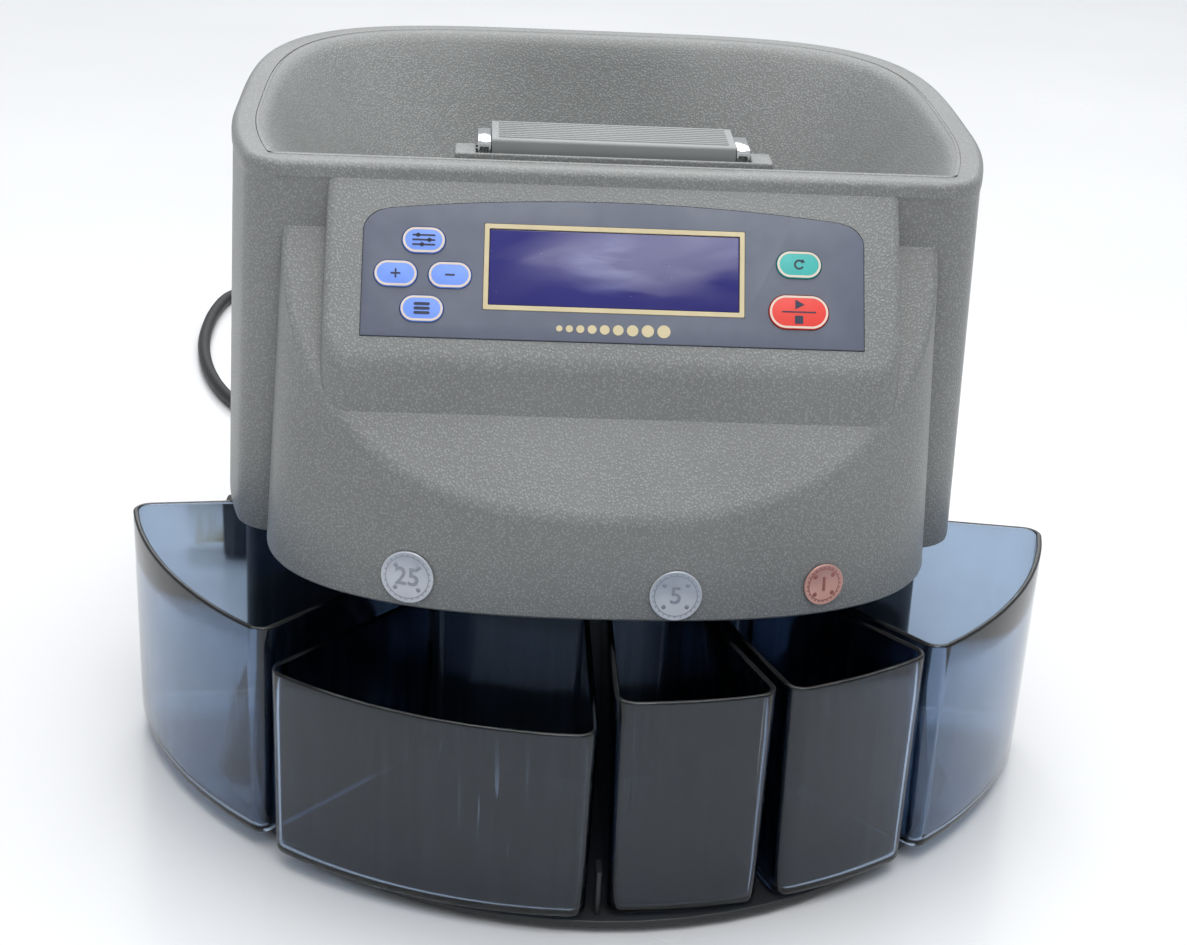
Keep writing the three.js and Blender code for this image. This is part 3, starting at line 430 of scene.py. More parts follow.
def screen_finish():
    """Blue display under a glossy window, with smeared gloss and a painted pale glare streak near its middle.
    """
    finish = Finish("display_window", (0.024, 0.022, 0.17), 0.12)
    smear = finish.noise(24, 4, ((1, 1, 3.5), (0.2, 0.3, 0.1)), 1.2)
    finish.vary(finish.noise(9, 2), 0.75, 1.4)
    finish.gloss(smear, 0.07, 0.26)
    # Painted highlight: pale streaks near the window's middle stand in for the lamps' glare on the glass.
    glare_streaks = finish.remap(finish.noise(90, 4, ((0.25, 1, 1.6), (0, 0.25, 0)), 0.6), 0.42, 0.75, 0, 1)
    painted_glare = finish.times(glare_streaks, finish.near((-2, -71, 211), 19, (1, 1.3, 1.6)))
    finish.marks(painted_glare, (0.5, 0.55, 0.85), 0.5)
    finish.marks(finish.remap(finish.cells(210), 0.0, 0.05, 1, 0), (0.6, 0.62, 0.8), 0.35)
    return finish.material


SCREEN = screen_finish()


def paint(obj, material):
    obj.data.materials.clear()
    obj.data.materials.append(material)
    return obj


def finished(obj, material, body="frame", replaces=()):
    paint(obj, material)
    if replaces:
        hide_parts(*replaces)
    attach(obj, body)
    return obj


# ------------------------------------------------------------------ mains cord
CORD = 6.8
FLOOR = CORD / 2 + 0.2
CORD_EXIT = (20, 160, 46)
TO_COIL = [
    (20, 160, 46), (20, 168, 45.9), (20, 180, 44.2), (20, 194, 38.6), (20, 208, 28.6), (20, 221, 17.4),
    (19.6, 235, 8.6), (18.6, 250, 4.5), (16, 268, FLOOR), (10, 292, FLOOR), (-1, 318, FLOOR),
    (-14, 342, FLOOR), (-22, 361, FLOOR), (-25.4, 378, FLOOR), (-26, 393.6, FLOOR),
]
TO_PLUG = [
    (-70.5, 471.2, FLOOR + CORD), (-84, 478.9, 9.6), (-100, 486.6, 7.2), (-118, 493.4, 4.8),
    (-138, 499, FLOOR), (-160, 501, FLOOR), (-179, 496, FLOOR), (-190.5, 482, FLOOR), (-195.5, 460, FLOOR),
    (-197.5, 430, FLOOR), (-196, 396, FLOOR), (-188.5, 356, FLOOR), (-174, 318, FLOOR), (-150, 284, FLOOR),
    (-118, 254, FLOOR), (-84, 228, FLOOR), (-60, 202, FLOOR), (-50, 176, 4.2), (-59, 151, 7.4),
    (-80, 139, 11.4), (-100, 137, 12.6), (-107.7, 137, 12.8),
]
COIL = {"x": -70, "y": 420, "outer": 44, "inner": 30.4}


def coil_points():
    """Two turns in along the table, a rise, then two turns out on top, leaving along the tangent."""
    points = []
    for angle in range(0, 1501, 15):
        inward = min(angle, 720) / 720 - max(angle - 780, 0) / 720
        radius = lerp(COIL["outer"], COIL["inner"], inward)
        rise = min(max((angle - 720) / 60, 0), 1)
        z = FLOOR + CORD * rise * rise * (3 - 2 * rise)
        a = math.radians(angle)
        points.append((COIL["x"] + radius * math.cos(a), COIL["y"] + radius * math.sin(a), z))
    return points


def curve_through(points, step=3.0):
    """Centripetal Catmull-Rom curve, sampled about every step millimetres."""
    points = [Vector(p) for p in points]
    ends = [points[0] * 2 - points[1], *points, points[-1] * 2 - points[-2]]
    samples = []
    for p0, p1, p2, p3 in zip(ends, ends[1:], ends[2:], ends[3:]):
        t0 = 0.0
        t1 = t0 + math.sqrt((p1 - p0).length)
        t2 = t1 + math.sqrt((p2 - p1).length)
        t3 = t2 + math.sqrt((p3 - p2).length)
        steps = max(2, round((p2 - p1).length / step))
        for k in range(steps):
            t = lerp(t1, t2, k / steps)
            a1 = p0.lerp(p1, (t - t0) / (t1 - t0))
            a2 = p1.lerp(p2, (t - t1) / (t2 - t1))
            a3 = p2.lerp(p3, (t - t2) / (t3 - t2))
            b1 = a1.lerp(a2, (t - t0) / (t2 - t0))
            b2 = a2.lerp(a3, (t - t1) / (t3 - t1))
            samples.append(b1.lerp(b2, (t - t1) / (t2 - t1)))
    return [*samples, points[-1]]


def mains_cord():
    samples = curve_through([*TO_COIL, *coil_points(), *TO_PLUG])
    curve = bpy.data.curves.new("mains_cord", "CURVE")
    curve.dimensions = "3D"
    curve.bevel_depth = CORD / 2 * MM
    curve.bevel_resolution = 5
    curve.use_fill_caps = True
    spline = curve.splines.new("POLY")
    spline.points.add(len(samples) - 1)
    for point, sample in zip(spline.points, samples):
        point.co = (*(sample * MM), 1)
    spline.use_smooth = True
    length = sum((b - a).length for a, b in zip(samples, samples[1:])) * MM
    return new_object("mains_cord", curve), length


cord, cord_length = mains_cord()
finished(cord, RUBBER, replaces=("cord_to_coil", "cord_coil", "cord_to_plug"))

COVER_FRONT = 126.3


def strain_relief():
    """Tapered boot with a locking flange and flex ribs."""
    profile = [(3.6, -3.9), (7.9, -3.9), (7.9, -0.3), (5.9, -0.3), (5.9, 2.8),
               (7.4, 2.8), (7.9, 3.3), (7.9, 5.2), (7.2, 5.7)]
    start, end, ribs = 6.5, CORD_EXIT[1] - COVER_FRONT - 0.4, 7
    for i in range(ribs):
        t0 = lerp(start, end, i / ribs)
        t1 = lerp(start, end, (i + 0.62) / ribs)
        radius = lerp(6.3, 4.7, i / (ribs - 1))
        profile += [(radius - 0.25, t0), (radius, t0 + 0.25), (radius, t1 - 0.25),
                    (radius - 0.25, t1), (radius - 0.9, t1 + 0.1)]
    profile += [(4.0, end), (3.6, end)]
    points, faces = turned(profile, 32, closed=True)
    placed = [(x + CORD_EXIT[0], z + COVER_FRONT, y + CORD_EXIT[2]) for x, y, z in points]
    return build("strain_relief", (placed, faces), 40)


gland = finished(strain_relief(), RUBBER, replaces=("cord_gland",))

PLUG = {"x": -158, "y": 137, "z": 12.8}


def plug():
    """Moulded plug lying on its side, waisted for the fingers, with a ribbed tail."""
    def squared(x, width, height, power):
        ring = []
        for i in range(40):
            a = 2 * math.pi * i / 40
            c, s = math.cos(a), math.sin(a)
            ring.append((x, math.copysign(abs(c) ** (2 / power), c) * width / 2,
                         math.copysign(abs(s) ** (2 / power), s) * height / 2))
        return ring
    stations = [
        (0.0, 20.6, 21.8, 5), (0.5, 22.4, 23.6, 5), (1.2, 23, 24.2, 5), (8.5, 23, 24.2, 5),
        (10.5, 22.2, 23.4, 5), (13, 19.6, 20.4, 4.4), (17, 17.8, 18.4, 4), (22, 17.4, 17.8, 3.6),
        (26, 16.2, 16.4, 3.2), (28.6, 14, 14, 2.6),
        (29.8, 12, 12, 2.2),
    ]
    for i in range(5):
        x, size = 30.4 + i * 3.8, 11.6 - i * 0.85
        stations += [(x, size, size, 2), (x + 2.2, size - 0.2, size - 0.2, 2),
                     (x + 2.5, size - 1.9, size - 1.9, 2), (x + 3.5, size - 2.1, size - 2.1, 2)]
    rings = [squared(*station) for station in stations]
    placed = [[(x + PLUG["x"], y + PLUG["y"], z + PLUG["z"] - 0.2) for x, y, z in ring] for ring in rings]
    return build("plug", loft(placed), 40)


plug_piece = finished(plug(), RUBBER, replaces=("plug_body",))


def coil_tie():
    """Soft strap round the coil's four turns."""
    outline = rounded_box(21.6, 14.6, 3.4, 6)
    inner = rounded_box(20.8, 13.8, 3.2, 6)
    a = math.radians(150)
    middle = Vector((COIL["x"] + 37.2 * math.cos(a), COIL["y"] + 37.2 * math.sin(a), 7.5))
    along = Vector((-math.sin(a), math.cos(a), 0))
    across = Vector((math.cos(a), math.sin(a), 0))
    rings = []
    for shape, shift in ((outline, -5), (outline, 5), (inner, 5), (inner, -5)):
        rings.append([tuple(middle + across * x + Vector((0, 0, z)) + along * shift) for x, z in shape])
    return build("coil_tie", loft(rings, closed=True), 40)


tie = finished(coil_tie(), RUBBER)

# ------------------------------------------------------------------ housing outlines
WALL = 3
HOUSING = {"bottom": 95, "half": 142.3, "front": -49, "back": 165, "radius": 12}
RIM = {"half": 140.3, "front": -55.6, "back": 170.8, "radius": 12}
BOW = 0.0024
LIP = 234.5
TOP = 240
SEAM = (9, 8.6, 9)
LEDGE = 2.6
FLANGE_BOTTOM = 236.8


def plan_outline(plan, front_steps=16, arc=10, back_steps=84):
    half, front, back, radius = plan["half"], plan["front"], plan["back"], plan["radius"]
    flank = 16
    outline = []
    for side, first in ((-1, math.pi), (1, 1.5 * math.pi)):
        for i in range(arc + 1):
            a = first + math.pi / 2 * i / arc
            outline.append((side * (half - radius) + radius * math.cos(a),
                            front + radius + radius * math.sin(a)))
        if side < 0:
            reach = half - radius
            outline += [(lerp(-reach, reach, i / front_steps), front) for i in range(1, front_steps)]
    for i in range(back_steps + 1):
        a = math.pi * i / back_steps
        x = half * math.copysign(abs(math.cos(a)) ** 0.5, math.cos(a))
        outline.append((x, flank + (back - flank) * abs(math.sin(a)) ** 0.5))
    low, steps = front + radius, 10
    sides = [lerp(low, flank, i / steps) for i in range(1, steps)]
    outline[-back_steps - 1:-back_steps - 1] = [(half, y) for y in sides]
    outline += [(-half, y) for y in reversed(sides)]
    return [(x * (1 - BOW * max(flank - y, 0) ** 2 / half), y) for x, y in outline]


def inset(plan, side, front=None, back=None):
    front = side if front is None else front
    back = side if back is None else back
    return {"half": plan["half"] - side, "front": plan["front"] + front, "back": plan["back"] - back,
            "radius": max(plan["radius"] - side, 2)}


def wall_plan(z):
    rise = z - HOUSING["bottom"]
    share = rise / (LIP - HOUSING["bottom"])
    return {"half": HOUSING["half"] - 0.018 * rise, "front": HOUSING["front"] - 0.04 * rise,
            "back": HOUSING["back"] + 0.022 * rise, "radius": lerp(HOUSING["radius"], RIM["radius"], share)}


seam_plan = inset(RIM, *SEAM)


def tower():
    """Outer wall, rolled rim, pocket for the hopper insert and inner wall as one closed skin."""
    rings = [(inset(wall_plan(95), 0.7), 95.0), (inset(wall_plan(95), 0.2), 95.25), (wall_plan(95.8), 95.8)]
    rings += [(wall_plan(z), z) for z in (130, 165, 200, 230.4)]
    shoulder = wall_plan(231.5)
    for t in (0.15, 0.4, 0.7, 1.0):
        blend = {key: lerp(shoulder[key], RIM[key], t * t) for key in RIM}
        rings.append((blend, lerp(231.5, LIP, t)))
    rings += [(inset(RIM, less), TOP - down) for down, less in edge_arc(3, 7)]
    rings += [(inset(RIM, SEAM[0] - 0.7, SEAM[1] - 0.7, SEAM[2] - 0.7), TOP)]
    rings += [(inset(RIM, SEAM[0] - 0.2, SEAM[1] - 0.2, SEAM[2] - 0.2), TOP - 0.2), (seam_plan, TOP - 0.8)]
    rings += [(seam_plan, FLANGE_BOTTOM - GAP), (inset(seam_plan, LEDGE), FLANGE_BOTTOM - GAP)]
    rings += [(inset(seam_plan, LEDGE), 231), (inset(wall_plan(230), WALL), 230),
              (inset(wall_plan(95), WALL), 95)]
    return loft([level(plan_outline(plan), z) for plan, z in rings], closed=True)


DRUM = {"half": 123, "depth": 71, "y": -46, "power": 2.5, "draft": 0.05}
SCOOP = {"y": -115.5, "z": 132, "slope": math.radians(53.7)}


def scoop_height(y):
    return SCOOP["z"] + math.tan(SCOOP["slope"]) * (y - SCOOP["y"])


def drum_outline(height_at, shrink, steps=96):
    outline = []
    for i in range(steps + 1):
        a = math.pi + math.pi * i / steps
        cosine = math.copysign(abs(math.cos(a)) ** (2 / DRUM["power"]), math.cos(a))
        sine = abs(math.sin(a)) ** (2 / DRUM["power"])
        z = SCOOP["z"]
        for _ in range(8):
            less = shrink + DRUM["draft"] * (z - HOUSING["bottom"])
            point = ((DRUM["half"] - less) * cosine, DRUM["y"] - (DRUM["depth"] - less) * sine)
            z = height_at(point[1])
        outline.append((*point, z))
    for x, y, _ in (outline[-1], outline[0]):
        outline.append((x, y + 8, height_at(y + 8)))
    return outline


def drum(bottom, wall, radius=0.0):
    drop = wall / math.cos(SCOOP["slope"])
    rings = [drum_outline(lambda y: bottom, wall)]
    if radius:
        rings = [drum_outline(lambda y: bottom, wall + 0.7), drum_outline(lambda y: bottom + 0.8, wall)]
    for down, less in edge_arc(radius, 6) if radius else [(0, 0)]:
        rings.append(drum_outline(lambda y, down=down: scoop_height(y) - drop - down, wall + less))
    return loft(rings)


CONSOLE = {"half": 100.7, "front": -92.8, "back": -53, "radius": 9, "edge": 179.7,
           "slope": math.radians(55.8), "skirt": 45, "draft": 0.05}


def console_height(y):
    return CONSOLE["edge"] + math.tan(CONSOLE["slope"]) * (y - CONSOLE["front"])


def console_ring(down, less, back):
    half, front = CONSOLE["half"] - less, CONSOLE["front"] + less
    radius = max(CONSOLE["radius"] - less, 2)
    corners = [(-half, back), (-half, front), (half, front), (half, back)]
    outline = rounded(corners, [0, radius, radius, 0], 10)
    return [(x, y, console_height(y) - down) for x, y in outline]


def console_solid(wall=0.0):
    skirt_less = -CONSOLE["draft"] * CONSOLE["skirt"]
    if wall:
        back = CONSOLE["back"] + 7
        drop = wall / math.cos(CONSOLE["slope"])
        return loft([console_ring(CONSOLE["skirt"], wall + skirt_less, back), console_ring(drop, wall, back)])
    rings = [console_ring(CONSOLE["skirt"], skirt_less, CONSOLE["back"])]
    rings += [console_ring(down, less, CONSOLE["back"]) for down, less in edge_arc(2.6, 6)]
    return loft(rings)


def on_console(solid, x=0.0, s=0.0, out=0.0):
    """From the console's face frame: x across, y up the face, z out of it."""
    points, faces = solid
    c, n = math.cos(CONSOLE["slope"]), math.sin(CONSOLE["slope"])
    placed = []
    for a, b, h in points:
        b, h = b + s, h + out
        placed.append((a + x, CONSOLE["front"] + b * c - h * n, CONSOLE["edge"] + b * n + h * c))
    return placed, faces


LABEL_SHAPE = {"half": 87.7, "bottom": 9.7, "side": 48.2, "crown": 60.3, "recess": 1.3, "thickness": 1.5}
LABEL_FACE = GAP - LABEL_SHAPE["recess"] + LABEL_SHAPE["thickness"]
SCREEN_SHAPE = {"width": 91.2, "height": 31, "s": 35.7, "border": 1.7}
LEFT_KEYS, RIGHT_KEYS = -66.7, 64.7
KEYS = {
    "key_menu": (LEFT_KEYS, 44.3, 15, 9.4, KEY_BLUE, "key_blue"),
    "key_plus": (LEFT_KEYS - 9.4, 32, 15, 9.4, KEY_BLUE, "key_blue"),
    "key_minus": (LEFT_KEYS + 9.4, 32, 15, 9.4, KEY_BLUE, "key_blue"),
    "key_batch": (LEFT_KEYS, 19.7, 15, 9.4, KEY_BLUE, "key_blue"),
    "key_clear": (RIGHT_KEYS, 39.9, 15.8, 9.8, KEY_TEAL, "key_teal"),
    "key_start_stop": (RIGHT_KEYS, 22.7, 21, 12.2, KEY_RED, "key_red"),
}


def label_outline(less):
    side = LABEL_SHAPE["half"] - less
    steps, edge = 30, 79
    crown = []
    for i in range(steps + 1):
        x = edge * (1 - 2 * i / steps)
        crown.append((x, LABEL_SHAPE["crown"] - less - 4.6 * (x / edge) ** 2))
    corner = [(side, LABEL_SHAPE["side"]), (side - 0.5, 50.2 - less * 0.5),
              (side - 2.2, 52.6 - less), (side - 4.8, 54.5 - less)]
    left = [(-x, y) for x, y in reversed(corner)]
    bottom = LABEL_SHAPE["bottom"] + less
    return [(-side, bottom), (side, bottom), *corner, *crown, *left]


def key_holes(more, bottom, top):
    return [build("hole", on_console(prism(rounded_box(w + more, h + more, h), bottom, top), x, s))
            for x, s, w, h, _, _ in KEYS.values()]


def housing():
    space = build("space", console_solid(WALL))
    clipped = combine(space, cut=[build("clip", box(-150, 150, -100, 0, 229, 260))])
    w, h = SCREEN_SHAPE["width"] - 6, SCREEN_SHAPE["height"] - 6
    cutters = [
        build("drum_space", drum(94, WALL)), clipped,
        build("label_recess", on_console(prism(label_outline(-0.25), -LABEL_SHAPE["recess"], 3))),
        build("screen_hole", on_console(box(-w / 2, w / 2, -h / 2, h / 2, -8, 3), 0, SCREEN_SHAPE["s"])),
        *key_holes(1, -8, 3),
    ]
    solids = [build("drum", drum(95, 0, 2.0)), build("console", console_solid())]
    return combine(build("housing_shell", tower()), add=solids, cut=cutters, angle=28)


finished(housing(), GREY, replaces=("upper_housing",))

# ------------------------------------------------------------------ hopper insert
THROAT = {"radius": 60, "y": 18, "z": 115.1, "wall": 2.5}
WAIST = {"z": 160, "y": 43, "x": 74, "half_y": 79}
MOUTH_Z = 238
MOUTH = (4.5, 5, 9)
TRAY = {"half": 57, "front": -40.6, "seat": -25.6, "back": -5, "top": 240.8}


def hopper():
    mouth = inset(seam_plan, *MOUTH)
    points = plan_outline(mouth)
    middle = (mouth["front"] + mouth["back"]) / 2

    def funnel(z, wall, grow_mouth=0.0):
        to_waist = min((MOUTH_Z - z) / (MOUTH_Z - WAIST["z"]), 1)
        to_throat = max((WAIST["z"] - z) / (WAIST["z"] - THROAT["z"]), 0)
        centre = lerp(WAIST["y"], THROAT["y"], to_throat)
        half_x = lerp(WAIST["x"], THROAT["radius"], to_throat) + wall
        half_y = lerp(WAIST["half_y"], THROAT["radius"], to_throat) + wall
        ring = []
        for x, y in points:
            a = math.atan2(y - middle, x)
            grow = 1 + (wall + grow_mouth) / math.hypot(x, y - middle)
            ring.append((lerp(x * grow, half_x * math.cos(a), to_waist),
                         lerp(middle + (y - middle) * grow, centre + half_y * math.sin(a), to_waist), z))
        return ring
    heights = [THROAT["z"], 126, 138, 149, 156, 160, 164, 172, 185, 198, 210, 222, 230]
    under = [funnel(z, THROAT["wall"]) for z in heights]
    inside = [funnel(z, 0) for z in reversed(heights)]
    neck, flange = inset(seam_plan, LEDGE + 0.4), inset(seam_plan, 0.35)
    rolled = [funnel(MOUTH_Z - 1.5, 0, 0.1), funnel(MOUTH_Z, 0, 0.5)]
    return loft([
        *under, level(plan_outline(neck), 234.4), level(plan_outline(neck), FLANGE_BOTTOM),
        level(plan_outline(flange), FLANGE_BOTTOM), level(plan_outline(flange), TOP - 0.7),
        level(plan_outline(inset(flange, 0.2)), TOP - 0.2), level(plan_outline(inset(flange, 0.7)), TOP),
        funnel(TOP, 0, 3.0), funnel(TOP - 0.4, 0, 1.6), *reversed(rolled), *inside,
    ], closed=True)


notch = box(-TRAY["half"] - GAP, TRAY["half"] + GAP, TRAY["front"] - GAP, TRAY["back"] + 1, 223, 250)
insert = combine(build("hopper_funnel", hopper()), cut=[build("notch", notch)], angle=30)
finished(insert, GREY, replaces=("hopper_insert",))

# ------------------------------------------------------------------ carrying handle
HANDLE = {"half": 43.8, "end": 5, "front": -36, "y": -30, "z": 238.2, "depth": 27, "top": 245, "thick": 8}


def side_prism(section, x0, x1):
    return loft([[(x, y, z) for y, z in section] for x in (x0, x1)])


def tray():
    profile = [(TRAY["front"], 226), (TRAY["back"], 224), (TRAY["back"], 230),
               (TRAY["seat"], TRAY["top"] - 0.8),
               (TRAY["seat"] - 2, TRAY["top"]), (TRAY["front"], TRAY["top"])]
    body = build("handle_seat", side_prism(profile, -TRAY["half"], TRAY["half"]))
    half = HANDLE["half"] + HANDLE["end"] + 0.6
    pocket = build("pocket", box(-half, half, TRAY["front"] + 1.6, TRAY["back"] + 1, 230.2, TRAY["top"] + 5))
    pins = [(x, y + HANDLE["y"], z + HANDLE["z"]) for z, y, x in turned([(1.9, -54), (1.9, 54)], 24)[0]]
    pin_hole = build("pin_hole", (pins, turned([(1.9, -54), (1.9, 54)], 24)[1]))
    return bevelled(combine(body, cut=[pocket, pin_hole]), 0.8, 3)


finished(tray(), GREY, replaces=("handle_tray",))


def grip():
    """Folding grip with nine fine ribs along its top."""
    y0, y1 = HANDLE["front"], HANDLE["front"] + HANDLE["depth"]
    top, bottom = HANDLE["top"], HANDLE["top"] - HANDLE["thick"]
    section = rounded([(y0, bottom), (y1, bottom + 1), (y1, top), (y0, top)], [1.6, 2, 2, 1.2], 5)
    body = build("grip_body", side_prism(section, -HANDLE["half"], HANDLE["half"]))
    ribs = []
    for i in range(9):
        y = y0 + 2.6 + i * 2.5
        corners = [(y, top - 1), (y + 1.3, top - 1), (y + 1.3, top + 0.5), (y, top + 0.5)]
        rib = rounded(corners, [0, 0, 0.4, 0.4], 3)
        ribs.append(build("rib", side_prism(rib, -HANDLE["half"] + 2.5, HANDLE["half"] - 2.5)))
    return bevelled(combine(body, add=ribs), 0.25, 2, 50)


finished(grip(), GRIP, "handle", ("handle_grip",))


def handle_end(side):
    """Bent chrome strap at the end of the grip, with its pivot pin."""
    x0, x1 = HANDLE["half"] + GAP, HANDLE["half"] + HANDLE["end"]
    y0, z0, z1 = HANDLE["front"], HANDLE["top"] - 10.4, HANDLE["top"] - 0.6
    section = rounded([(y0, z0), (y0 + 18, z0), (y0 + 18, z1), (y0, z1)], [1.6, 1.6, 1.2, 1.2], 5)
    body = build("handle_end", side_prism(section, side * x0, side * x1))
    corners = [(y0 - 2, z0 + 2.4), (y0 + 4.4, z0 + 2.4), (y0 + 4.4, z1 - 2.6), (y0 - 2, z1 - 2.6)]
    window = rounded(corners, 0.6, 3)
    hollow = build("hollow", side_prism(window, side * (x0 + 1), side * (x1 - 1)))
    disc, faces = turned([(1.8, x1 - 0.6), (1.8, x1 + 3.4), (1.5, x1 + 3.6)], 24)
    pin = build("pin", ([(side * x, y + HANDLE["y"], z + HANDLE["z"]) for z, y, x in disc], faces))
    return bevelled(combine(body, add=[pin], cut=[hollow]), 0.35, 2, 50)


for side, node in ((-1, "handle_end_left"), (1, "handle_end_right")):
    piece = handle_end(side)
    piece.name = node + "_strap"
    finished(piece, CHROME, "handle", (node,))

# ------------------------------------------------------------------ label, display and keys
plate = build("console_label", on_console(pad(label_outline, GAP - LABEL_SHAPE["recess"], LABEL_FACE, 0.25)))
w, h = SCREEN_SHAPE["width"] + 0.3, SCREEN_SHAPE["height"] + 0.3
window_hole = build("window", on_console(box(-w / 2, w / 2, -h / 2, h / 2, -3, 3), 0, SCREEN_SHAPE["s"]))
finished(combine(plate, cut=[window_hole, *key_holes(0.5, -3, 3)]), LABEL, replaces=("label_plate",))


def bezel():
    w, h, border = SCREEN_SHAPE["width"], SCREEN_SHAPE["height"], SCREEN_SHAPE["border"]
    low, top = GAP - LABEL_SHAPE["recess"], LABEL_FACE + 0.15
    rings = [
        (rounded_box(w, h, 0.4, 3), low), (rounded_box(w, h, 0.4, 3), top - 0.1),
        (rounded_box(w - 0.2, h - 0.2, 0.4, 3), top),
        (rounded_box(w - 2 * border + 0.2, h - 2 * border + 0.2, 0.3, 3), top),
        (rounded_box(w - 2 * border, h - 2 * border, 0.3, 3), top - 0.1),
        (rounded_box(w - 2 * border, h - 2 * border, 0.3, 3), low),
    ]
    solid = loft([level(outline, z) for outline, z in rings], closed=True)
    return build("display_frame", on_console(solid, 0, SCREEN_SHAPE["s"]))


finished(bezel(), GOLD, replaces=("display_bezel",))

w = SCREEN_SHAPE["width"] - 2 * SCREEN_SHAPE["border"] - 0.4
h = SCREEN_SHAPE["height"] - 2 * SCREEN_SHAPE["border"] - 0.4
window = pad(lambda less: rounded_box(w - 2 * less, h - 2 * less, 0.3, 3),
             GAP - LABEL_SHAPE["recess"], LABEL_FACE - 0.25, 0.2)
finished(build("display_glass", on_console(window, 0, SCREEN_SHAPE["s"])), SCREEN,
         replaces=("display_window",))

KEY_TOP = LABEL_FACE + 0.8


def key_piece(name, x, s, w, h):
    """Soft key with a domed edge and its plunger."""
    def outline(less):
        return rounded_box(w - 2 * less, h - 2 * less, h, 12)
    cap = build(name, on_console(pad(outline, -3.4, KEY_TOP, 0.7, 6), x, s))
    stem = build("stem", on_console(prism(rounded_box(w - 5, h - 4, 1), -9.6, -2.9), x, s))
    return combine(cap, add=[stem], angle=40)


def printed(name, shapes, x, s, top, thickness=0.12):
    """Printed marks, a hair thick, from outlines on the console's face frame."""
    solids = [build("mark", on_console(prism(shape, top - 0.02, top + thickness), x, s)) for shape in shapes]
    return joined(name, solids)


def ring_mark(name, outer, inner, x, s, top, thickness=0.12):
    rings = [level(outer, top - 0.02), level(outer, top + thickness),
             level(inner, top + thickness), level(inner, top - 0.02)]
    return build(name, on_console(loft(rings, closed=True), x, s))


def bar(width, height, x=0.0, y=0.0, radius=0.25):
    return [(a + x, b + y) for a, b in rounded_box(width, height, radius, 3)]


def arc_band(radius, width, start, end, steps=20):
    turns = [math.radians(lerp(start, end, i / steps)) for i in range(steps + 1)]
    outer = [((radius + width / 2) * math.cos(a), (radius + width / 2) * math.sin(a)) for a in turns]
    near = radius - width / 2
    inner = [(near * math.cos(a), near * math.sin(a)) for a in reversed(turns)]
    return outer + inner


SYMBOLS = {
    "key_menu": [bar(8, 0.6, 0, 1.7), bar(8, 0.6), bar(8, 0.6, 0, -1.7),
                 bar(1.5, 1.5, -2, 1.7, 0.7), bar(1.5, 1.5, 2, 0, 0.7), bar(1.5, 1.5, -0.6, -1.7, 0.7)],
    "key_plus": [bar(3.4, 0.6), bar(0.6, 1.4, 0, 1.0), bar(0.6, 1.4, 0, -1.0)],
    "key_minus": [bar(3.4, 0.6)],
    "key_batch": [bar(5.6, 1.0, 0, 1.6, 0.5), bar(5.6, 1.0, 0, 0, 0.5), bar(5.6, 1.0, 0, -1.6, 0.5)],
    "key_clear": [arc_band(1.5, 0.62, 50, 330), [(0.6, 0.55), (2.1, 0.9), (1.15, 2.05)]],
    "key_start_stop": [[(-1.3, 1.0), (1.9, 2.7), (-1.3, 4.4)], bar(12, 0.45), bar(2.9, 2.9, 0, -2.8, 0.3)],
}

for name, (x, s, w, h, material, slot_name) in KEYS.items():
    finished(key_piece(name + "_cap", x, s, w, h), material, name, (name,))
    finished(printed(name + "_symbol", SYMBOLS[name], x, s, KEY_TOP), INK, name)
    outer = rounded_box(w - 0.5, h - 0.5, h, 12)
    inner = rounded_box(w - 2.0, h - 2.0, h, 12)
    finished(ring_mark(name + "_outline", outer, inner, x, s, KEY_TOP - 0.12, 0.16), CREAM, name)

sizes = [1.1, 1.25, 1.4, 1.55, 1.7, 1.85, 2.0, 2.15, 2.3]
discs, place = [], -20.5
for radius in sizes:
    discs.append(circle(radius, 28, place + radius, 0))
    place += 2 * radius + 1.15
finished(printed("title_discs", discs, 0.5, 14.2, LABEL_FACE), GOLD)


# ------------------------------------------------------------------ coin tokens
def token_place(x, z):
    """Place, sideways turn and lean of a flat disc on the bulging wall."""
    less = DRUM["draft"] * (z - HOUSING["bottom"])
    width, depth = DRUM["half"] - less, DRUM["depth"] - less
    share = abs(x / width) ** DRUM["power"]
    y = DRUM["y"] - depth * (1 - share) ** (1 / DRUM["power"])
    sideways = math.atan2(math.copysign(share / abs(x), x), (1 - share) / abs(y - DRUM["y"]))
    lean = Matrix.Rotation(math.pi / 2 - math.atan(DRUM["draft"]), 4, "X")
    return Matrix.Translation(Vector((x, y, z)) * MM) @ Matrix.Rotation(sideways, 4, "Z") @ lean


def number_mesh(text, size):
    letters = bpy.data.curves.new("number", "FONT")
    letters.body = text
    letters.size = size * MM
    letters.align_x = "CENTER"
    letters.align_y = "CENTER"
    letters.extrude = 0.08 * MM
    letters.offset = 0.1 * MM
    obj = new_object("number", letters)
    graph = bpy.context.evaluated_depsgraph_get()
    mesh = bpy.data.meshes.new_from_object(obj.evaluated_get(graph))
    bpy.data.objects.remove(obj)
    mesh.transform(Matrix.Translation((0, 0, 1.08 * MM)))
    return new_object("number", mesh)


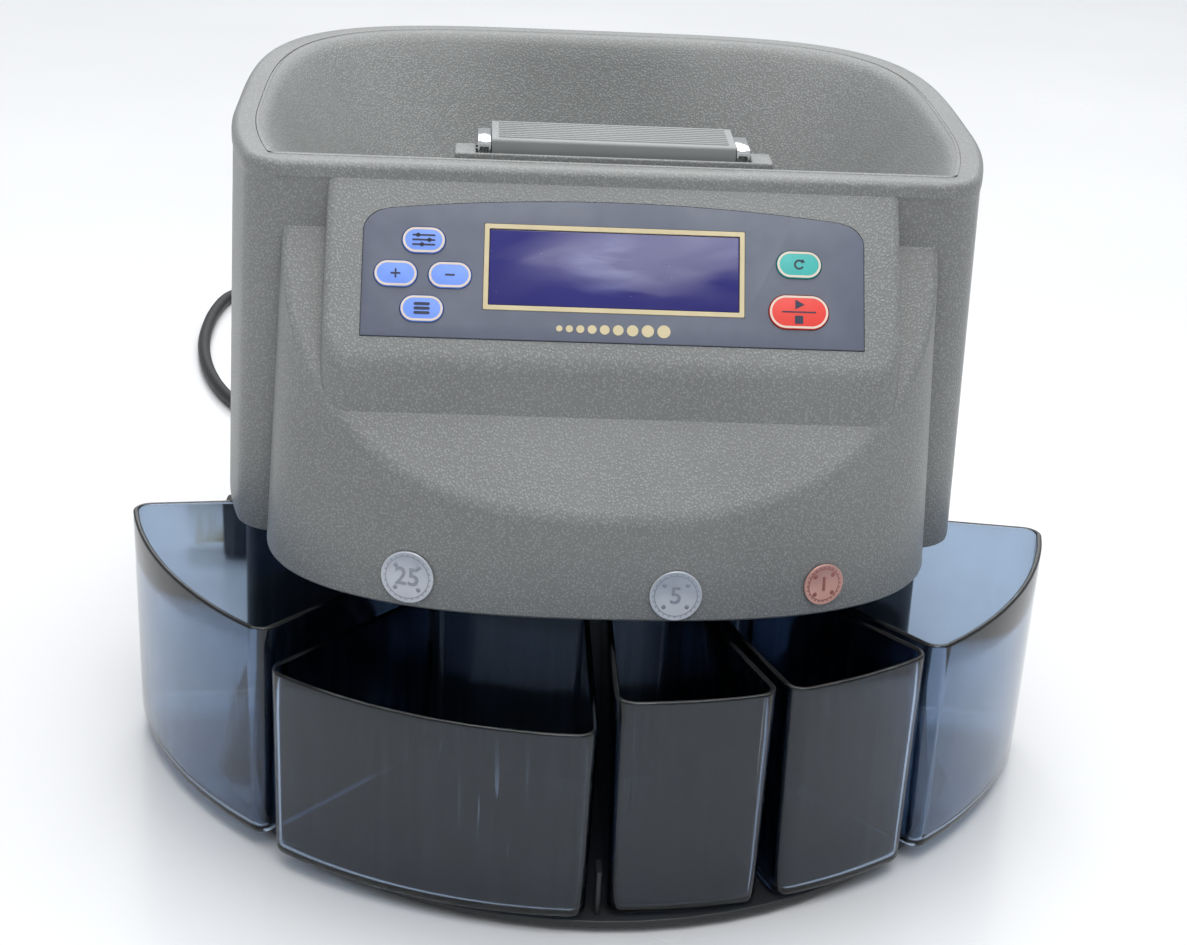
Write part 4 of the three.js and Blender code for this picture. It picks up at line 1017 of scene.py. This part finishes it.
def token(node, text, x, z, radius, foil, print_color):
    profile = [(radius, 0.5), (radius, 0.85), (radius - 0.15, 1.0), (radius - 0.8, 1.0), (radius - 0.9, 0.93)]
    disc = build(node + "_disc", turned(profile, 72), 40)
    line = [(radius - 1.6, 0.9), (radius - 1.6, 1.0), (radius - 1.9, 1.0), (radius - 1.9, 0.9)]
    marks = [build("mark", turned(line, 72, True)),
             number_mesh(text, radius * 0.95)]
    for i in range(24):
        a = 2 * math.pi * i / 24
        bead = turned([(0.26, 0.9), (0.26, 1.02)], 10)
        ring = radius - 1.25
        marks.append(build("bead", moved(bead, ring * math.cos(a), ring * math.sin(a))))
    for i in range(4):
        a = math.radians(45 + 90 * i)
        petal = turned([(0.9, 0.9), (0.7, 1.02)], 16)
        marks.append(build("petal", moved(petal, radius * 0.62 * math.cos(a), radius * 0.62 * math.sin(a))))
    printed_marks = joined(node + "_print", marks)
    matrix = token_place(x, z)
    for piece in (disc, printed_marks):
        piece.data.transform(matrix)
    finished(disc, foil, replaces=(node,))
    finished(printed_marks, print_color)


token("token_25", "25", -69, 106.5, 9.6, SILVER, SILVER_DARK)
token("token_5", "5", 24.7, 105.2, 9.3, SILVER, SILVER_DARK)
token("token_1", "1", 77.7, 106.6, 7.7, COPPER, COPPER_DARK)

# ------------------------------------------------------------------ bins
FAN_Y = 12
BIN = {"outer": 180, "inner": 88, "bottom": 5.5, "wall": 2.2, "gap": 1.7, "draft": 0.018, "corner": 7}
BINS = {
    "bin_far_left": (-82, -41, 90, 0), "bin_front_left": (-41, 0, 79, 3.5), "bin_centre": (0, 19.8, 90, 0),
    "bin_right_centre": (19.8, 40.6, 90, 0), "bin_far_right": (40.6, 82, 90, 0),
}


def around(angle, radius, y=FAN_Y):
    return radius * math.sin(math.radians(angle)), y - radius * math.cos(math.radians(angle))


def sector(start, end, less, steps=26):
    side = BIN["gap"] + less
    corners = []
    for radius, flip in ((BIN["outer"] - less, False), (BIN["inner"] + less, True)):
        shift = math.degrees(math.atan2(side, math.sqrt(radius ** 2 - side ** 2)))
        arc = [around(lerp(start + shift, end - shift, i / steps), radius) for i in range(steps + 1)]
        corners += reversed(arc) if flip else arc
    soft = max(BIN["corner"] - less, 2)
    radii = [0] * len(corners)
    radii[0] = radii[steps] = soft
    radii[steps + 1] = radii[-1] = 2.5
    return corners, radii


def sector_outline(start, end, less):
    """Round the sector's four corners, dropping arc points that a round corner swallows."""
    corners, radii = sector(start, end, less)
    steps = len(corners) // 2 - 1
    kept = [i for i in range(len(corners)) if i not in (1, 2, steps - 1, steps - 2)]
    return rounded([corners[i] for i in kept], [radii[i] for i in kept], 8)


def bin_piece(name, start, end, top, out):
    bottom, wall = BIN["bottom"], BIN["wall"]
    rings = []
    for up, less in ((0, 3), (0.25, 1.9), (0.9, 0.9), (1.9, 0.25), (3.2, 0)):
        rings.append((bottom + up, less))
    rings += [(lerp(bottom, top, t), 0) for t in (0.2, 0.5, 0.8)]
    rings += [(top - down, less) for down, less in edge_arc(0.9, 4)]
    rings += [(top - down, wall - less) for down, less in reversed(edge_arc(0.9, 4)[:-1])]
    rings += [(lerp(bottom, top, t), wall) for t in (0.8, 0.5, 0.2)]
    rings += [(bottom + 5.4, wall), (bottom + 3.7, wall + 0.3),
              (bottom + 2.8, wall + 1), (bottom + 2.4, wall + 2)]
    skin = [level(sector_outline(start, end, less + BIN["draft"] * (top - z)), z) for z, less in rings]
    dx, dy = around((start + end) / 2, out, 0)
    return build(name + "_shell", moved(loft(skin), dx, dy), 40)


for name, (start, end, top, out) in BINS.items():
    finished(bin_piece(name, start, end, top, out), SMOKE, name, (name,))


# ------------------------------------------------------------------ chassis, plate and small parts
def refined(node, width, material, body="frame", segments=3, angle=30):
    """A copy of a CAD node with soft edges that stands for it."""
    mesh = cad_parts[node].data.copy()
    shape = bmesh.new()
    shape.from_mesh(mesh)
    bmesh.ops.remove_doubles(shape, verts=shape.verts, dist=1e-6)
    bmesh.ops.dissolve_limit(shape, angle_limit=math.radians(1), verts=shape.verts, edges=shape.edges)
    shape.to_mesh(mesh)
    shape.free()
    obj = new_object(node + "_fine", mesh)
    return finished(bevelled(obj, width, segments, angle), material, body, (node,))


refined("base_plate", 0.6, CHARCOAL)
refined("rear_chassis", 0.8, CHARCOAL)
refined("rear_cover", 0.5, CHARCOAL)
refined("bin_post", 0.3, CHARCOAL)
refined("rocker_switch", 0.6, RUBBER, "switch")
refined("cover_screw_left", 0.3, STEEL)
refined("cover_screw_right", 0.3, STEEL)
for node in ("foot_front_left", "foot_front_right", "foot_rear_left", "foot_rear_right"):
    refined(node, 0.5, RUBBER)

CAD_FINISHES = {
    "deck_plate": DECK, "ring_cover": DECK, "coin_chutes": CHARCOAL, "bearing_housing": DECK,
    "sorting_ring": STEEL, "sorting_disc": STEEL, "disc_shaft": STEEL, "drive_plate": STEEL,
    "bearing_lower": STEEL, "bearing_upper": STEEL, "motor_bracket": STEEL, "drive_motor": STEEL,
    "disc_gear": GEAR, "motor_pinion": BRASS, "transformer": CORE, "display_module": MODULE,
    "keypad_board": BOARD, "main_board": BOARD, "sensor_board": BOARD,
    "plug_blade_lower": BRASS, "plug_blade_upper": BRASS,
}
for node, material in CAD_FINISHES.items():
    paint(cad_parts[node], material)

# ------------------------------------------------------------------ table and light
table = build("table", box(-4000, 4000, -3000, 6000, -20, 0))
table_finish = Finish("table_white", (0.78, 0.785, 0.795), 0.22)
table_finish.vary(table_finish.noise(1.2, 2), 0.985, 1.01)
table_finish.gloss(table_finish.noise(3, 3), 0.18, 0.28)
paint(table, table_finish.material)

world = bpy.data.worlds.new("studio")
bpy.context.scene.world = world
world.use_nodes = True
world.node_tree.nodes["Background"].inputs["Color"].default_value = (0.93, 0.96, 1.0, 1)
world.node_tree.nodes["Background"].inputs["Strength"].default_value = 0.5


def softbox(name, place, target, size, power, color=(1, 1, 1)):
    light = bpy.data.lights.new(name, "AREA")
    light.shape = "RECTANGLE"
    light.size, light.size_y = size
    light.energy = power
    light.color = color
    obj = new_object(name, light)
    obj.location = place
    obj.rotation_euler = (Vector(target) - Vector(place)).to_track_quat("-Z", "Y").to_euler()


softbox("top_light", (0.15, 0.35, 2.2), (0, 0.1, 0.1), (2.6, 2.6), 52)
softbox("front_light", (0.1, -1.3, 2.1), (0, 0, 0.15), (0.8, 0.8), 9)
softbox("back_light", (0.2, 3.2, 2.0), (0, 1.6, 0), (3.0, 2.0), 24)
